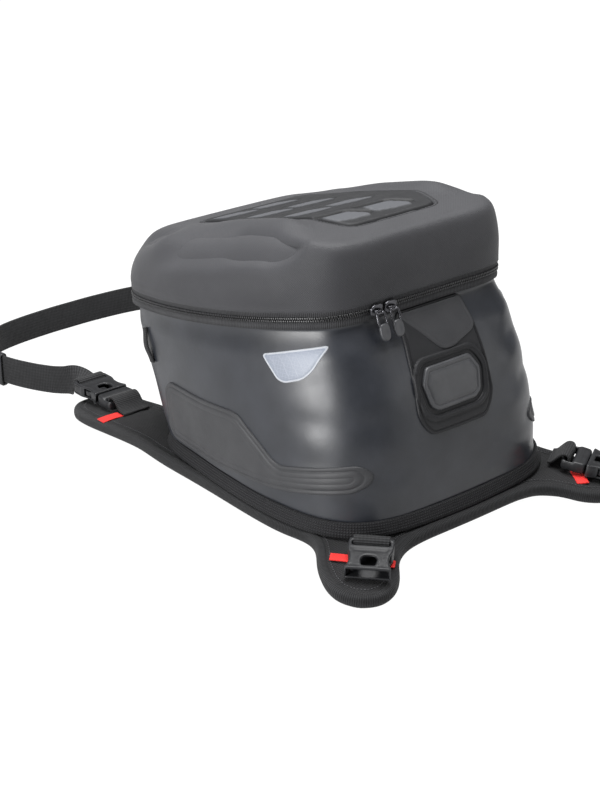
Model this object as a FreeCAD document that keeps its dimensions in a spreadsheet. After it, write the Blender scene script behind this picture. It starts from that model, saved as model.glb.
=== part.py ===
import FreeCAD, Part
import os, math
from FreeCAD import Vector, Placement, Rotation

# Strap-on tank bag: hollow welded tub on a padded four-leg saddle, moulded lid with a
# zip round three sides, side-release buckles, front strap loop and parked rear strap.
# Frame: +Y to the handlebar, +X to the bag's right, +Z up. z = 0 is the plane through
# the four leg tips; x = 0 is the mirror plane; y = 0 is the middle of the tub's base.

doc = FreeCAD.newDocument("TankBag")
sheet = doc.addObject("Spreadsheet::Sheet", "Sheet")
DIMS = [
    ("half_width", 112.0), ("base_front", 121.0), ("base_rear", 117.0), ("base_z", 20.8),
    ("rim_front", 173.0), ("rim_rear", 69.0), ("rim_half", 111.0),
    ("rim_z_rear", 161.0), ("rim_slope", 0.18), ("wall", 2.0),
    ("lid_wall", 4.0), ("lid_flat_z", 216.0), ("lid_slope", 0.27), ("tape_tall", 10.0),
    ("plate_thick", 8.0), ("plate_top", 20.0), ("binding_w", 8.0), ("binding_thick", 9.4),
    ("grip_thick", 1.5), ("board_thick", 2.5),
    ("web_w", 25.0), ("web_t", 1.8),
    ("buckle_w", 31.0), ("buckle_th", 9.5), ("female_len", 33.0), ("male_base_len", 10.5),
    ("mouth_w", 28.6), ("mouth_th", 6.0), ("guide_len", 19.0), ("prong_len", 21.0),
    ("buckle_x", 80.0), ("buckle_y", 206.0), ("buckle_z", 19.0),
    ("slider_len", 11.0), ("pull_len", 19.0), ("pull_w", 8.5), ("pull_th", 2.2),
    ("badge_th", 2.6), ("panel_th", 1.8), ("tab_len", 13.0), ("tab_w", 9.0), ("tab_th", 1.2),
]
for i, (a, v) in enumerate(DIMS):
    sheet.set("A%d" % (i + 1), a)
    sheet.set("B%d" % (i + 1), repr(v))
    sheet.setAlias("B%d" % (i + 1), a)
doc.recompute()
D = {a: float(sheet.get(a)) for a, v in DIMS}
NODES = []


def keep(obj, label):
    obj.Label = label
    NODES.append(obj)
    return obj


def feature(label, shape):
    o = doc.addObject("Part::Feature", label)
    o.Shape = shape
    return keep(o, label)


# ---------- PartDesign helpers ----------
def plane_of(body, role):
    for f in body.Origin.OriginFeatures:
        if f.Role == role:
            return f


def poly_sketch(body, name, pts, role="XY_Plane", z=0.0):
    sk = body.newObject("Sketcher::SketchObject", name)
    sk.AttachmentSupport = [(plane_of(body, role), "")]
    sk.MapMode = "FlatFace"
    sk.AttachmentOffset = Placement(Vector(0, 0, z), Rotation())
    n = len(pts)
    for i in range(n):
        a, b = pts[i], pts[(i + 1) % n]
        sk.addGeometry(Part.LineSegment(Vector(a[0], a[1], 0), Vector(b[0], b[1], 0)), False)
    return sk


def rect_sketch(body, name, wx, wy, x0=0.0, y0=0.0, role="XY_Plane", z=0.0, wexpr=None, hexpr=None):
    # rectangle centred on x0, running from y0 to y0 + wy
    import Sketcher
    sk = body.newObject("Sketcher::SketchObject", name)
    sk.AttachmentSupport = [(plane_of(body, role), "")]
    sk.MapMode = "FlatFace"
    sk.AttachmentOffset = Placement(Vector(0, 0, z), Rotation())
    p = [(x0 - wx / 2, y0), (x0 + wx / 2, y0), (x0 + wx / 2, y0 + wy), (x0 - wx / 2, y0 + wy)]
    for i in range(4):
        a, b = p[i], p[(i + 1) % 4]
        sk.addGeometry(Part.LineSegment(Vector(a[0], a[1], 0), Vector(b[0], b[1], 0)), False)
    for i in range(4):
        sk.addConstraint(Sketcher.Constraint("Coincident", i, 2, (i + 1) % 4, 1))
    sk.addConstraint(Sketcher.Constraint("Horizontal", 0))
    sk.addConstraint(Sketcher.Constraint("Vertical", 1))
    sk.addConstraint(Sketcher.Constraint("Horizontal", 2))
    sk.addConstraint(Sketcher.Constraint("Vertical", 3))
    c1 = sk.addConstraint(Sketcher.Constraint("DistanceX", 0, 1, 0, 2, wx))
    c2 = sk.addConstraint(Sketcher.Constraint("DistanceY", 1, 1, 1, 2, wy))
    if wexpr:
        sk.setExpression("Constraints[%d]" % c1, wexpr)
    if hexpr:
        sk.setExpression("Constraints[%d]" % c2, hexpr)
    return sk


def pad(body, sk, name, length, expr=None, mid=True):
    f = body.newObject("PartDesign::Pad", name)
    f.Profile = sk
    f.Length = length
    if expr:
        f.setExpression("Length", expr)
    if mid:
        try:
            f.Midplane = True
        except Exception:
            f.SideType = 2
    body.Tip = f
    return f


def pocket(body, sk, name, length, expr=None):
    f = body.newObject("PartDesign::Pocket", name)
    f.Profile = sk
    f.Length = length
    if expr:
        f.setExpression("Length", expr)
    try:
        f.Midplane = True
    except Exception:
        f.SideType = 2
    body.Tip = f
    return f


# ---------- outlines ----------
# right half, front centre to rear centre, as fractions of half width and of the front
# or rear reach
BASE = [(0.0, 1.0), (0.40, 0.992), (0.71, 0.934), (0.875, 0.80), (0.946, 0.54), (0.982, 0.17),
        (1.0, -0.21), (0.973, -0.53), (0.885, -0.77), (0.72, -0.91), (0.46, -0.975), (0.23, -0.994), (0.0, -1.0)]
RIM = [(0.0, 1.0), (0.36, 0.994), (0.667, 0.948), (0.847, 0.844), (0.955, 0.647), (1.0, 0.434),
       (0.991, 0.15), (0.925, -0.174), (0.81, -0.64), (0.69, -0.91), (0.54, -0.995), (0.27, -1.0), (0.0, -1.0)]


def outline(frac, half, front, rear):
    right = [(fx * half, fy * front if fy >= 0 else fy * rear) for fx, fy in frac]
    left = [(-x, y) for x, y in right[-2:0:-1]]
    return right + left


def offset(pts, d):
    # move each point outwards (d > 0) along the outline's normal; pts run clockwise from the front
    out = []
    n = len(pts)
    for i in range(n):
        a, b = pts[i - 1], pts[(i + 1) % n]
        tx, ty = b[0] - a[0], b[1] - a[1]
        l = math.hypot(tx, ty)
        out.append((pts[i][0] - ty / l * d, pts[i][1] + tx / l * d))
    return out


base2 = outline(BASE, D["half_width"], D["base_front"], D["base_rear"])
rim2 = outline(RIM, D["rim_half"], D["rim_front"], D["rim_rear"])
mid2 = []
for (bx, by), (rx, ry) in zip(base2, rim2):
    t = 0.5
    x, y = bx + (rx - bx) * t, by + (ry - by) * t
    if y < 0:
        y -= 10.0 * min(1.0, -y / 90.0)     # the rear face stands steeper in its lower half
    mid2.append((x, y))


def rim_z(y):
    return D["rim_z_rear"] - D["rim_slope"] * (y + 60.0)


def lid_z(y):
    return D["lid_flat_z"] - D["lid_slope"] * (y + 8.0)


def wire(pts3):
    c = Part.BSplineCurve()
    c.interpolate(Points=[Vector(*p) for p in pts3], PeriodicFlag=True)
    return Part.Wire([c.toShape()])


def poly_wire(pts3):
    v = [Vector(*p) for p in pts3]
    return Part.makePolygon(v + [v[0]])


def tub(d, z0=None, z1=0.0):
    # tub loft, walls moved out by d, from the floor at z0 to the rim plane raised by z1
    zb = D["base_z"] if z0 is None else z0
    a = [(x, y, zb) for x, y in offset(base2, d)]
    m = [(x, y, 0.5 * (D["base_z"] + rim_z(y))) for x, y in offset(mid2, d)]
    t = [(x, y, rim_z(y) + z1) for x, y in offset(rim2, d)]
    return Part.makeLoft([wire(a), wire(m), wire(t)], True, False)


def ring(outer2, inner2, zfun, height):
    a = Part.makeLoft([wire([(x, y, zfun(y)) for x, y in outer2]),
                       wire([(x, y, zfun(y) + height) for x, y in outer2])], True, True)
    b = Part.makeLoft([wire([(x, y, zfun(y) - 3) for x, y in inner2]),
                       wire([(x, y, zfun(y) + height + 3) for x, y in inner2])], True, True)
    return a.cut(b)


# ---------- tub ----------
outer = tub(0.0)
inner = tub(-D["wall"], D["base_z"] + D["wall"], 4.0)
# the inner loft passes the rim so that the mouth is cut clean through
shell = outer.cut(inner)
feature("tub_shell", shell)

board2 = offset(base2, -9.0)
zb = D["base_z"] + D["wall"]
a = Part.Face(wire([(x, y, zb) for x, y in board2])).extrude(Vector(0, 0, D["board_thick"]))
feature("base_board", a)

# welded skirt band round the foot of the tub
sk_out = Part.Face(wire([(x, y, D["plate_top"] + 2.6) for x, y in offset(base2, 3.6)])).extrude(Vector(0, 0, 8.0))
skirt = sk_out.cut(tub(0.15))
feature("base_skirt", max(skirt.Solids, key=lambda q: q.Volume))

# ---------- patches welded on the tub's skin ----------
def band(d0, d1):
    return tub(d1).cut(tub(d0))


band_panel = band(0.1, 0.1 + D["panel_th"])
band_thin = band(0.1, 0.9)
band_badge = band(0.15 + D["panel_th"], 0.15 + D["panel_th"] + D["badge_th"])


def prism_x(pts_yz, side):
    w = poly_wire([(side * 60.0, y, z) for y, z in pts_yz])
    return Part.Face(w).extrude(Vector(side * 80.0, 0, 0))


def prism_y(pts_xz):
    w = poly_wire([(x, -40.0, z) for x, z in pts_xz])
    return Part.Face(w).extrude(Vector(0, -110.0, 0))


def common1(a, b):
    c = a.common(b)
    s = max(c.Solids, key=lambda q: q.Volume)
    return s


PANEL_YZ = [(84, 80), (40, 82), (8, 85), (-2, 84), (-37, 62), (-44, 60), (-98, 72), (-104, 66), (-104, 58),
            (-98, 52), (-44, 41), (-10, 38), (30, 34), (84, 33), (92, 40), (93, 72)]
for side, nm in ((-1, "left"), (1, "right")):
    feature("side_panel_" + nm, common1(band_panel, prism_x(PANEL_YZ, side)))
REFL_YZ = [(-19, 134), (-74, 152), (-68, 130), (-60, 124), (-40, 119), (-34, 119)]
for side, nm in ((-1, "left"), (1, "right")):
    feature("reflector_" + nm, common1(band_thin, prism_x(REFL_YZ, side)))

REAR_XZ = [(-28, 158), (34, 158), (37, 128), (37, 96), (33, 88), (26, 80), (-26, 80), (-33, 88), (-36, 96), (-33, 128)]
rear_prism = prism_y(REAR_XZ)
BADGE_XZ = [(-24, 124), (24, 124), (27, 119), (23, 99), (19, 95), (-19, 95), (-23, 99), (-27, 119)]
RING_XZ = [(-29, 129), (29, 129), (33, 119), (28, 96), (22, 90), (-22, 90), (-28, 96), (-33, 119)]
feature("rear_panel", common1(band_panel, rear_prism))
feature("rear_badge", common1(band_badge, prism_y(BADGE_XZ)))
bring = band_badge.common(prism_y(RING_XZ)).cut(prism_y([(x * 1.05, (z - 109) * 1.06 + 109) for x, z in BADGE_XZ]))
feature("badge_frame", max(bring.Solids, key=lambda q: q.Volume))
# stiff guard over the parked end of the zip, welded to the rear panel under the rim
GUARD_XZ = [(-27, 157), (33, 157), (34.5, 142), (7, 131), (-2, 131), (-28, 146)]
feature("zip_guard", common1(band(0.15 + D["panel_th"], 1.15 + D["panel_th"]), prism_y(GUARD_XZ)))

# ---------- zip: lower tape and coil on the tub, upper ones on the lid ----------
lower = ring(offset(rim2, 0.9), offset(rim2, -1.6), rim_z, 4.2)
feature("zip_tape_lower", lower)


def flat_ring(d_out, d_in, dz, height):
    # the rim lies in one sloped plane, so a coil is a flat face with a hole, drawn up
    out_e = wire([(x, y, rim_z(y)) for x, y in offset(rim2, d_out)]).discretize(Number=241)[:-1]
    in_e = wire([(x, y, rim_z(y)) for x, y in offset(rim2, d_in)]).discretize(Number=241)[:-1]
    fo = Part.Face(poly_wire([(v.x, v.y, rim_z(v.y) + dz) for v in out_e])).extrude(Vector(0, 0, height))
    fi = Part.Face(poly_wire([(v.x, v.y, rim_z(v.y) + dz) for v in in_e]))
    fi.translate(Vector(0, 0, -1))
    return fo.cut(fi.extrude(Vector(0, 0, height + 2)))


coil = flat_ring(1.9, 0.95, 3.0, 1.5)
feature("zip_coil_lower", coil)
upper = ring(offset(rim2, 1.3), offset(rim2, -1.6), lambda y: rim_z(y) + 5.0, 5.0)
feature("zip_tape_upper", upper)
coil2 = flat_ring(1.9, 1.38, 5.0, 1.5)
feature("zip_coil_upper", coil2)

# ---------- lid ----------
def lid_body(d, zlow, top_drop, top_in):
    l0 = [(x, y, rim_z(y) + zlow) for x, y in offset(rim2, 2.4 + d)]
    l1 = [(x, y, rim_z(y) + 10 + 0.42 * (lid_z(y) - rim_z(y) - 10)) for x, y in offset(rim2, 1.0 + d)]
    l2 = [(x, y, rim_z(y) + 10 + 0.86 * (lid_z(y) - rim_z(y) - 10) - top_drop) for x, y in offset(rim2, -6.5 + d)]
    l3 = [(x, y, lid_z(y) - top_drop) for x, y in offset(rim2, -17.0 + d - top_in)]
    s = Part.makeLoft([wire(l0), wire(l1), wire(l2), wire(l3)], True, False)
    box = Part.makeBox(400, 500, 200, Vector(-200, -200, D["lid_flat_z"] - top_drop))
    return s.cut(box)


lid_out = lid_body(0.0, D["tape_tall"], 0.0, 0.0)
lid_in = lid_body(-D["lid_wall"], D["tape_tall"] - 4.0, D["lid_wall"], 0.0)
feature("lid_shell", lid_out.cut(lid_in))

# raised pad on the lid's top with a second, smaller tread of eight cells
def top_prism(pts, z0, th):
    lo = [(x, y, min(lid_z(y), D["lid_flat_z"]) + z0) for x, y in pts]
    hi = [(x, y, min(lid_z(y), D["lid_flat_z"]) + z0 + th) for x, y in pts]
    return lo, hi


def slab(pts, z0, th):
    # slab lying on the sloped part of the top (y > -8)
    lo = [(x, y, lid_z(y) + z0) for x, y in pts]
    f = Part.Face(poly_wire(lo))
    nv = Vector(0, D["lid_slope"], 1).normalize()
    return f.extrude(nv * th)


pad_slope = slab([(-37, -7.5), (37, -7.5), (52, 60), (50, 122), (-50, 122), (-52, 60)], 0.05, 1.6)
flat_pad = Part.makeBox(74.0, 34.6, 1.6, Vector(-37.0, -41.5, D["lid_flat_z"] + 0.05))
feature("lid_pad", flat_pad.fuse(pad_slope))
cells = []
for k, y0 in enumerate((-4.0, 27.0, 58.0, 89.0)):
    for sx in (-1, 1):
        cx = sx * (19.0 + k * 1.2)
        w = 15.0 + k * 1.0
        cells.append(slab([(cx - w, y0 + 3), (cx, y0), (cx + w, y0 + 3), (cx + w, y0 + 20), (cx, y0 + 24), (cx - w, y0 + 20)], 1.75, 1.3))
feature("lid_tread_cells", Part.makeCompound(cells))
# inner mesh pocket hung under the lid
pocket_solid = slab([(-70, 5), (70, 5), (78, 60), (70, 125), (-70, 125), (-78, 60)], -D["lid_wall"] - 3.2, 1.2)
feature("lid_mesh_pocket", pocket_solid)

# fabric hinge strip along the front of the rim, where the zip stops
hs = ring(offset(rim2, 3.6), offset(rim2, 2.7), lambda y: rim_z(y) - 6.0, 15.0)
hs = hs.common(Part.makeBox(130, 60, 80, Vector(-65, 140, 90)))
feature("lid_hinge_strip", max(hs.Solids, key=lambda q: q.Volume))

# ---------- zip sliders and pulls ----------
rim_rear_y = -D["rim_rear"]
for nm, x0 in (("a", -48.0), ("b", -35.5)):
    b = doc.addObject("PartDesign::Body", "zip_slider_" + nm)
    sk = rect_sketch(b, "SliderFace_" + nm, D["slider_len"], 8.6, 0, -4.3, "XY_Plane", 0.0, "Sheet.slider_len")
    pad(b, sk, "SliderPad_" + nm, 2.4)
    sk2 = rect_sketch(b, "BridgeFace_" + nm, 5.0, 3.0, 0, -1.5, "XY_Plane", 1.6)
    pad(b, sk2, "SliderBridge_" + nm, 2.2)
    # local z points out of the rear face (to -Y), local y points up
    b.Placement = Placement(Vector(x0, rim_rear_y - 2.3 - 1.3, rim_z(rim_rear_y) + 4.8), Rotation(Vector(1, 0, 0), 90))
    keep(b, "zip_slider_" + nm)
    p = doc.addObject("PartDesign::Body", "zip_pull_" + nm)
    sk = rect_sketch(p, "PullFace_" + nm, D["pull_w"], D["pull_len"], 0, -D["pull_len"], "XY_Plane", 0.0, "Sheet.pull_w", "Sheet.pull_len")
    pad(p, sk, "PullPad_" + nm, D["pull_th"], "Sheet.pull_th")
    sk2 = rect_sketch(p, "PullEye_" + nm, 4.6, 3.0, 0, -D["pull_len"] + 2.0)
    pocket(p, sk2, "PullHole_" + nm, 8.0)
    # hangs from the slider's bridge, its lower end clear of the sloping panel
    p.Placement = Placement(Vector(x0, rim_rear_y - 2.3 - 5.6, rim_z(rim_rear_y) + 4.0), Rotation(Vector(1, 0, 0), 68))
    keep(p, "zip_pull_" + nm)

# ---------- saddle plate, legs and bindings ----------
pt, zt = D["plate_thick"], D["plate_top"]
plate = doc.addObject("PartDesign::Body", "saddle_plate")
PL = [(-50, 122), (50, 122), (78, 118), (100, 112), (107.5, 70), (108, 20), (109, -30), (106, -66), (98, -86), (60, -114),
      (30, -117.5), (-30, -117.5), (-60, -114), (-98, -86), (-106, -66), (-109, -30), (-108, 20), (-107.5, 70), (-100, 112), (-78, 118)]
sk = poly_sketch(plate, "PlateOutline", PL, "XY_Plane", zt - pt)
pad(plate, sk, "PlatePad", pt, "Sheet.plate_thick", mid=False)
keep(plate, "saddle_plate")

# anti-slip sheet under the plate
grip = doc.addObject("PartDesign::Body", "grip_sheet")
sk = poly_sketch(grip, "GripOutline", [(x * 0.9, y * 0.9) for x, y in PL], "XY_Plane", zt - pt - D["grip_thick"])
pad(grip, sk, "GripPad", D["grip_thick"], "Sheet.grip_thick", mid=False)
keep(grip, "grip_sheet")


def strip(path, w, z0, th):
    # flat strip of width w along an open path in plan
    n = len(path)
    L, R = [], []
    for i in range(n):
        a = path[max(i - 1, 0)]
        b = path[min(i + 1, n - 1)]
        tx, ty = b[0] - a[0], b[1] - a[1]
        l = math.hypot(tx, ty)
        nx, ny = -ty / l, tx / l
        L.append((path[i][0] + nx * w / 2, path[i][1] + ny * w / 2, z0))
        R.append((path[i][0] - nx * w / 2, path[i][1] - ny * w / 2, z0))
    return Part.Face(poly_wire(L + R[::-1])).extrude(Vector(0, 0, th))


bt = D["binding_thick"]
bz = zt - pt / 2 - bt / 2
lengths = [strip([(side * x, y) for x, y in [(112.3, 101), (112.2, 70), (112.5, 20), (113.5, -30), (110.5, -66), (108.5, -74)]], 7.6, bz, bt)
           for side in (-1, 1)]
lengths.append(strip([(-49, -119.8), (-30, -121.9), (0, -122.4), (30, -121.9), (49, -119.8)], 7.6, bz, bt))
lengths.append(strip([(-47, 126.3), (0, 126.5), (47, 126.3)], 7.6, bz, bt))
feature("plate_binding", Part.makeCompound(lengths))


def tilt(shape, p, d, deg):
    # turn a leg down about the horizontal line through p, square to direction d
    axis = Vector(-d[1], d[0], 0)
    s = shape.copy()
    s.rotate(Vector(*p), axis, deg)
    return s


def smooth(pts, k=5):
    # closed Catmull-Rom through pts
    n = len(pts)
    out = []
    for i in range(n):
        p0, p1, p2, p3 = pts[i - 1], pts[i], pts[(i + 1) % n], pts[(i + 2) % n]
        for j in range(k):
            t = j / k
            out.append(tuple(0.5 * ((2 * p1[c]) + (-p0[c] + p2[c]) * t + (2 * p0[c] - 5 * p1[c] + 4 * p2[c] - p3[c]) * t * t
                                    + (-p0[c] + 3 * p1[c] - 3 * p2[c] + p3[c]) * t ** 3) for c in (0, 1)))
    return out


# open outlines of the right-hand legs: run from one end of the root line, round the tip, to the other
LEG_F = [(111.5, 114), (112.5, 140), (112.5, 175), (111.5, 205), (106, 223), (96, 231), (82, 232), (68, 227), (59, 214), (55.5, 190), (54.5, 160), (53.5, 127)]
LEG_R = [(54, -121.5), (66, -126), (79, -134), (91, -147), (103, -155), (117, -156), (130, -148), (136.5, -133), (133, -116), (123, -101), (112, -90), (105.5, -80)]
LEG_F_IN = [(103.5, 117), (104.5, 140), (104.5, 175), (103.6, 203), (100, 216), (93.5, 222.5), (82.5, 223.5), (73, 220), (67, 210.5), (63.5, 190), (62.5, 160), (61.8, 126.5)]
LEG_R_IN = [(62, -116.5), (69.5, -119), (83.5, -127.5), (95, -139.5), (105, -146.5), (116, -147.5), (124.5, -142), (128.3, -132), (125.5, -119), (116.5, -106.5), (106.5, -96.5), (101, -89.5)]
LEGS = []
for side, sn in ((-1, "left"), (1, "right")):
    for fr, out_, in_, root, d, deg in (("front", LEG_F, LEG_F_IN, (82, 121), (0.0, 1.0), 5.84),
                                        ("rear", LEG_R, LEG_R_IN, (82, -102), (0.47, -0.88), 10.13)):
        o2 = [(side * x, y) for x, y in out_]
        i2 = [(side * x, y) for x, y in in_]
        pr = (side * root[0], root[1], zt - pt)
        dd = (side * d[0], d[1])
        padf = Part.Face(poly_wire([(x, y, zt - pt) for x, y in i2])).extrude(Vector(0, 0, pt))
        loop = [(x, y, bz) for x, y in o2] + [(x, y, bz) for x, y in i2[::-1]]
        # pull the binding 0.15 off the pad so that the two stay separate solids
        bind = Part.Face(poly_wire(loop)).extrude(Vector(0, 0, bt)).cut(
            Part.Face(poly_wire([(x, y, bz - 1) for x, y in i2])).extrude(Vector(0, 0, bt + 2)))
        padf = tilt(padf, pr, dd, deg)
        bind = tilt(max(bind.Solids, key=lambda q: q.Volume), pr, dd, deg)
        feature("leg_pad_%s_%s" % (fr, sn), padf)
        feature("leg_binding_%s_%s" % (fr, sn), bind)
        LEGS.append((fr, sn, padf, bind))


# ---------- side-release buckles ----------
def buckle_frame(origin, d, z, pitch=0.0):
    # local +Y runs out of the male part and into the female one
    ang = math.degrees(math.atan2(d[1], d[0])) - 90.0
    r = Rotation(Vector(0, 0, 1), ang).multiply(Rotation(Vector(1, 0, 0), pitch))
    return Placement(Vector(origin[0], origin[1], z), r)


def male(tag, pl):
    b = doc.addObject("PartDesign::Body", "buckle_male_" + tag)
    L0 = D["male_base_len"]
    sk = rect_sketch(b, "MaleBase_" + tag, D["buckle_w"] - 1.0, L0 + 8.0, 0, -L0 - 8.0, "XY_Plane", 0.0)
    pad(b, sk, "MalePad_" + tag, D["buckle_th"] - 1.0)
    sk = rect_sketch(b, "MaleSlot_" + tag, D["web_w"] + 0.6, 4.6, 0, -L0 - 5.0, "XY_Plane", 0.0)
    pocket(b, sk, "MaleSlotCut_" + tag, 20.0)
    sk = rect_sketch(b, "Guide_" + tag, 6.0, D["guide_len"] + 1.0, 0, -1.0, "XY_Plane", 0.0)
    pad(b, sk, "GuidePad_" + tag, 3.2)
    b.Placement = pl
    keep(b, "buckle_male_" + tag)
    for s, sn in ((-1, "l"), (1, "r")):
        p = doc.addObject("PartDesign::Body", "buckle_prong_%s_%s" % (tag, sn))
        pts = [(s * 6.4, 0.3), (s * 9.2, 0.3), (s * 10.4, 8.0), (s * 13.4, 12.0), (s * 13.6, 17.0), (s * 11.0, D["prong_len"]), (s * 8.4, D["prong_len"]), (s * 7.8, 12.0)]
        if s < 0:
            pts = pts[::-1]
        sk = poly_sketch(p, "ProngOutline_%s_%s" % (tag, sn), pts)
        pad(p, sk, "ProngPad_%s_%s" % (tag, sn), 4.4)
        p.Placement = pl
        keep(p, "buckle_prong_%s_%s" % (tag, sn))


def female(tag, pl, gap=0.4):
    b = doc.addObject("PartDesign::Body", "buckle_female_" + tag)
    FL = D["female_len"]
    sk = rect_sketch(b, "FemaleBody_" + tag, D["buckle_w"], FL, 0, gap, "XY_Plane", 0.0, "Sheet.buckle_w", "Sheet.female_len")
    pad(b, sk, "FemalePad_" + tag, D["buckle_th"], "Sheet.buckle_th")
    # socket, two thumb windows in the sides, webbing slot
    sk = rect_sketch(b, "Socket_" + tag, D["mouth_w"], 23.0, 0, gap - 0.5, "XY_Plane", 0.0, "Sheet.mouth_w")
    pocket(b, sk, "SocketCut_" + tag, D["mouth_th"], "Sheet.mouth_th")
    sk = rect_sketch(b, "Window_" + tag, 40.0, 9.0, 0, 9.5, "XY_Plane", 0.0)
    pocket(b, sk, "WindowCut_" + tag, D["mouth_th"] - 0.8)
    sk = rect_sketch(b, "WebSlot_" + tag, D["web_w"] + 0.6, 4.6, 0, gap + FL - 8.2, "XY_Plane", 0.0)
    pocket(b, sk, "WebSlotCut_" + tag, 20.0)
    b.Placement = pl
    keep(b, "buckle_female_" + tag)


bx, by, bzz = D["buckle_x"], D["buckle_y"], D["buckle_z"]
PL_FL = buckle_frame((-bx, by), (0, 1), bzz)
PL_FR = buckle_frame((bx, by), (0, 1), bzz)
RDIR = (0.5, -0.866)
PL_RR = buckle_frame((119.0, -128.0), RDIR, 20.8, -8.0)
# the empty female on the rear-left leg faces outwards: local +Y points back to the bag
PL_RL = buckle_frame((-115.5, -141.5), (0.743, 0.669), 18.5, 9.4)
male("front_left", PL_FL)
male("front_right", PL_FR)
male("rear_right", PL_RR)
female("front_left", PL_FL)
female("front_right", PL_FR)
female("rear_right", PL_RR)
female("rear_left", PL_RL)


# webbing loops that hold the fixed buckles to the legs: through the slot, round the bar and down to the leg
def web_loop(label, pl, y_bar, y_foot, z_foot_top, z_foot_low, w, sgn):
    # profile in the buckle's local YZ plane; passes through the slot and folds round the bar
    yb = y_bar
    pts = [(yb + 0.9 * sgn, -3.6), (yb + 0.9 * sgn, 5.6), (yb - 0.4 * sgn, 6.8), (yb - 6.2 * sgn, 6.8), (yb - 9.2 * sgn, 4.0), (y_foot, z_foot_top),
           (y_foot, z_foot_low), (yb - 7.0 * sgn, z_foot_low), (yb - 7.0 * sgn, 3.0), (yb - 5.4 * sgn, 5.0), (yb - 0.9 * sgn, 5.0), (yb - 0.9 * sgn, -3.6)]
    f = Part.Face(poly_wire([(-w / 2, y, z) for y, z in pts]))
    s = f.extrude(Vector(w, 0, 0))
    s.Placement = pl
    o = doc.addObject("Part::Feature", label)
    o.Shape = s
    keep(o, label)


yb = -D["male_base_len"] - 2.7
web_loop("web_loop_front_left", PL_FL, yb, yb - 22, -1.2, -3.0, D["web_w"], 1)
web_loop("web_loop_front_right", PL_FR, yb, yb - 22, -1.2, -3.0, D["web_w"], 1)
web_loop("web_loop_rear_right", PL_RR, yb, yb - 15, -2.6, -4.6, D["web_w"], 1)
web_loop("web_loop_rear_left", PL_RL, D["female_len"] - 5.5, D["female_len"] + 9, -1.4, -3.2, D["web_w"], -1)


# ---------- coloured finger tabs sewn by the buckles ----------
def tab(name, x, y, z, ang, pitch=0.0):
    b = doc.addObject("Part::Box", name)
    b.setExpression("Length", "Sheet.tab_len")
    b.setExpression("Width", "Sheet.tab_w")
    b.setExpression("Height", "Sheet.tab_th")
    b.Placement = Placement(Vector(x, y, z), Rotation(Vector(0, 0, 1), ang).multiply(Rotation(Vector(1, 0, 0), pitch)))
    return b


def tab_group(label, items):
    g = doc.addObject("Part::Compound", label)
    g.Links = items
    keep(g, label)


tab_group("finger_tabs_front", [tab("TabFL", -106.5, 172.0, 16.9, 0, -5.84), tab("TabFR", 93.5, 172.0, 16.9, 0, -5.84)])
# rear tabs lie on the legs' tops and tilt with them
rt = []
for side, (cx, cy), ang, ln in ((-1, (-102.5, -122.5), -48.0, 44.0), (1, (105.0, -132.0), 60.0, 16.0)):
    q = Part.makeBox(ln, D["tab_w"], 0.9, Vector(-ln / 2, -D["tab_w"] / 2, 0))
    q.rotate(Vector(0, 0, 0), Vector(0, 0, 1), ang)
    q.translate(Vector(cx, cy, zt + 0.75))
    rt.append(tilt(q, (side * 82, -102, zt - pt), (side * 0.47, -0.88), 10.13))
feature("finger_tabs_rear", Part.makeCompound(rt))

# ---------- front strap: webbing on edge round the steering head, with its two females ----------
FS = [(-80.0, 241.9), (-83.0, 252.0), (-92.0, 268.0), (-104.0, 288.0), (-113.0, 310.0), (-115.5, 332.0), (-110.0, 352.0), (-98.0, 368.0), (-80.0, 379.0), (-55.0, 385.5),
      (-24.0, 389.0), (0.0, 389.5), (24.0, 389.0), (55.0, 385.5), (80.0, 379.0), (98.0, 368.0), (110.0, 352.0), (115.5, 332.0), (113.0, 310.0), (104.0, 288.0), (92.0, 268.0),
      (83.0, 252.0), (80.0, 241.9)]
web = strip(FS, D["web_t"], 2.0, D["web_w"])
feature("front_strap_webbing", web)
# folded webbing end round each female bar
folds = []
for pl in (PL_FL, PL_FR):
    o = Part.Face(poly_wire([(-12.5, 27.2, -6.4), (-12.5, 27.2, 6.4), (-12.5, 35.6, 6.4), (-12.5, 35.6, -6.4)])).extrude(Vector(25, 0, 0))
    c = Part.makeBox(27, 4.7, 9.9, Vector(-13.5, 29.0, -4.95))
    s = o.cut(c)
    s.Placement = pl
    folds.append(s)
feature("front_strap_folds", Part.makeCompound(folds))
keepers = []
for sx, nm in ((-1, "left"), (1, "right")):
    k = doc.addObject("Part::Box", "KeeperOuter_" + nm)
    k.Length, k.Width, k.Height = 7.6, 9.0, 29.0
    kc = doc.addObject("Part::Box", "KeeperSlot_" + nm)
    kc.Length, kc.Width, kc.Height = 3.4, 13.0, 25.8
    k.Placement = Placement(Vector(-3.8, -4.5, -14.5), Rotation())
    kc.Placement = Placement(Vector(-1.7, -6.5, -12.9), Rotation())
    cut = doc.addObject("Part::Cut", "Keeper_" + nm)
    cut.Base, cut.Tool = k, kc
    cut.Placement = Placement(Vector(sx * 114.2, 320.5, 14.5), Rotation(Vector(0, 0, 1), sx * -6.0))
    keepers.append(cut)
grp = doc.addObject("Part::Compound", "strap_keepers")
grp.Links = keepers
keep(grp, "strap_keepers")

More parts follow.
